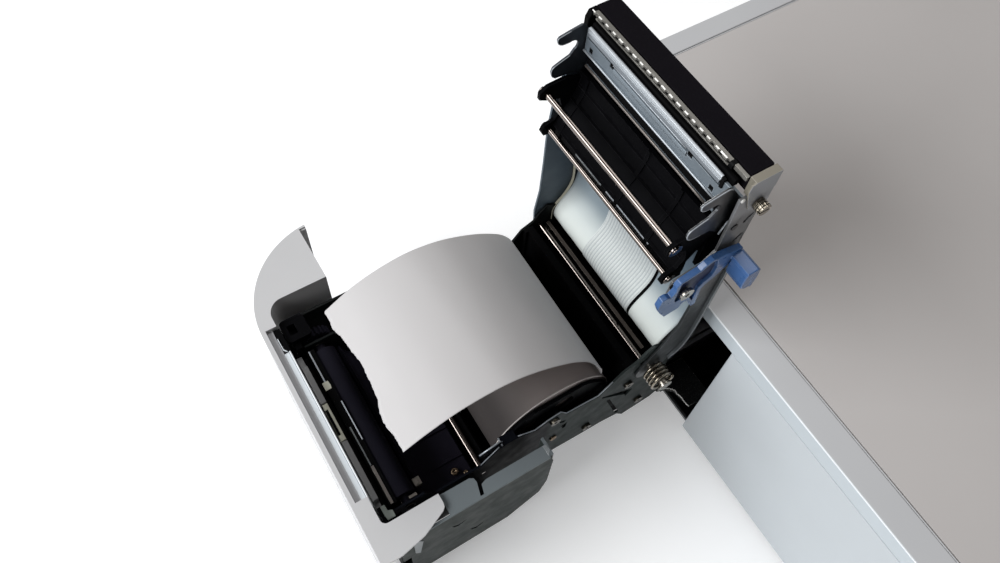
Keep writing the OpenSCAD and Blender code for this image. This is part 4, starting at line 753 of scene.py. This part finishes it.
# a small screw on the near side plate
for k, (y, z, r) in enumerate(((102.6, 54.6, 2.0),)):
    lathe("plate_screw_%d" % k, [(0, 0), (0, r), (0.8, r), (1.1, r * 0.8), (1.1, r * 0.35), (0.5, r * 0.3), (0.5, 0)], (46.5, y, z), "x", "bronze", "drawer", 28)
# ------------------------------------------------------------------ roll: a light wire along its near rim (painted highlight), and the flap's torn foil edge in near-white steel (painted glint)
arc = [(39.85, 105 + 32.9 * math.cos(math.radians(a)), 65.6 + 32.9 * math.sin(math.radians(a))) for a in range(0, 361, 5)]
tube("roll_rim_highlight", arc, 0.32, "paper_edge_highlight", "roll", 8)
rnd = random.Random(3)
fl = cat([(47.2, 176), (48.4, 180), (50, 182.6), (52.2, 184.0), (55, 184.1), (58, 185.0), (61, 184.7), (63.4, 185.2)], 40)
tube("flap_edge", [(p[0] + 0.25 * rnd.uniform(-1, 1), p[1] + 0.35 * rnd.uniform(-1, 1), 26.1 + 0.15 * rnd.random()) for p in fl], 0.26, "glint_steel", "drawer", 8)

# ------------------------------------------------------------------ light, floor
def area(name, loc, target, size, power, colour=(1, 1, 1)):
    d = bpy.data.lights.new(name, "AREA")
    d.shape = "RECTANGLE"
    d.size, d.size_y = size
    d.energy = power
    d.color = colour
    o = bpy.data.objects.new(name, d)
    SC.collection.objects.link(o)
    o.location = loc
    o.rotation_euler = (Vector(target) - Vector(loc)).to_track_quat("-Z", "Y").to_euler()
    return o


world = bpy.data.worlds.new("world")
SC.world = world
world.use_nodes = True
bg = world.node_tree.nodes["Background"]
bg.inputs[0].default_value = (1.0, 0.955, 0.93, 1)
bg.inputs[1].default_value = 0.12
area("key", (-0.35, -1.35, 0.95), (0, 0.0, 0.1), (1.3, 0.7), 26.5, (0.97, 0.985, 1.0))
area("top_soft", (-0.5, 0.3, 1.6), (0.0, 0.0, 0.1), (1.0, 1.0), 9, (1.0, 0.99, 0.98))

me = bpy.data.meshes.new("floor")
bm = bmesh.new()
bmesh.ops.create_grid(bm, x_segments=2, y_segments=2, size=4)
bm.to_mesh(me)
bm.free()
floor = bpy.data.objects.new("floor", me)
SC.collection.objects.link(floor)
fm = material("floor_pale", (0.84, 0.845, 0.85, 1.0), rough=0.8, var=0.01, grain=300, grain_h=0.00001, spec=0.2)
fb = next(n for n in fm.node_tree.nodes if n.type == "BSDF_PRINCIPLED")
fb.inputs["Emission Color"].default_value = (1, 1, 1, 1)
fb.inputs["Emission Strength"].default_value = 0.30
me.materials.append(fm)
floor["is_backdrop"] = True

lo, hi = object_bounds()
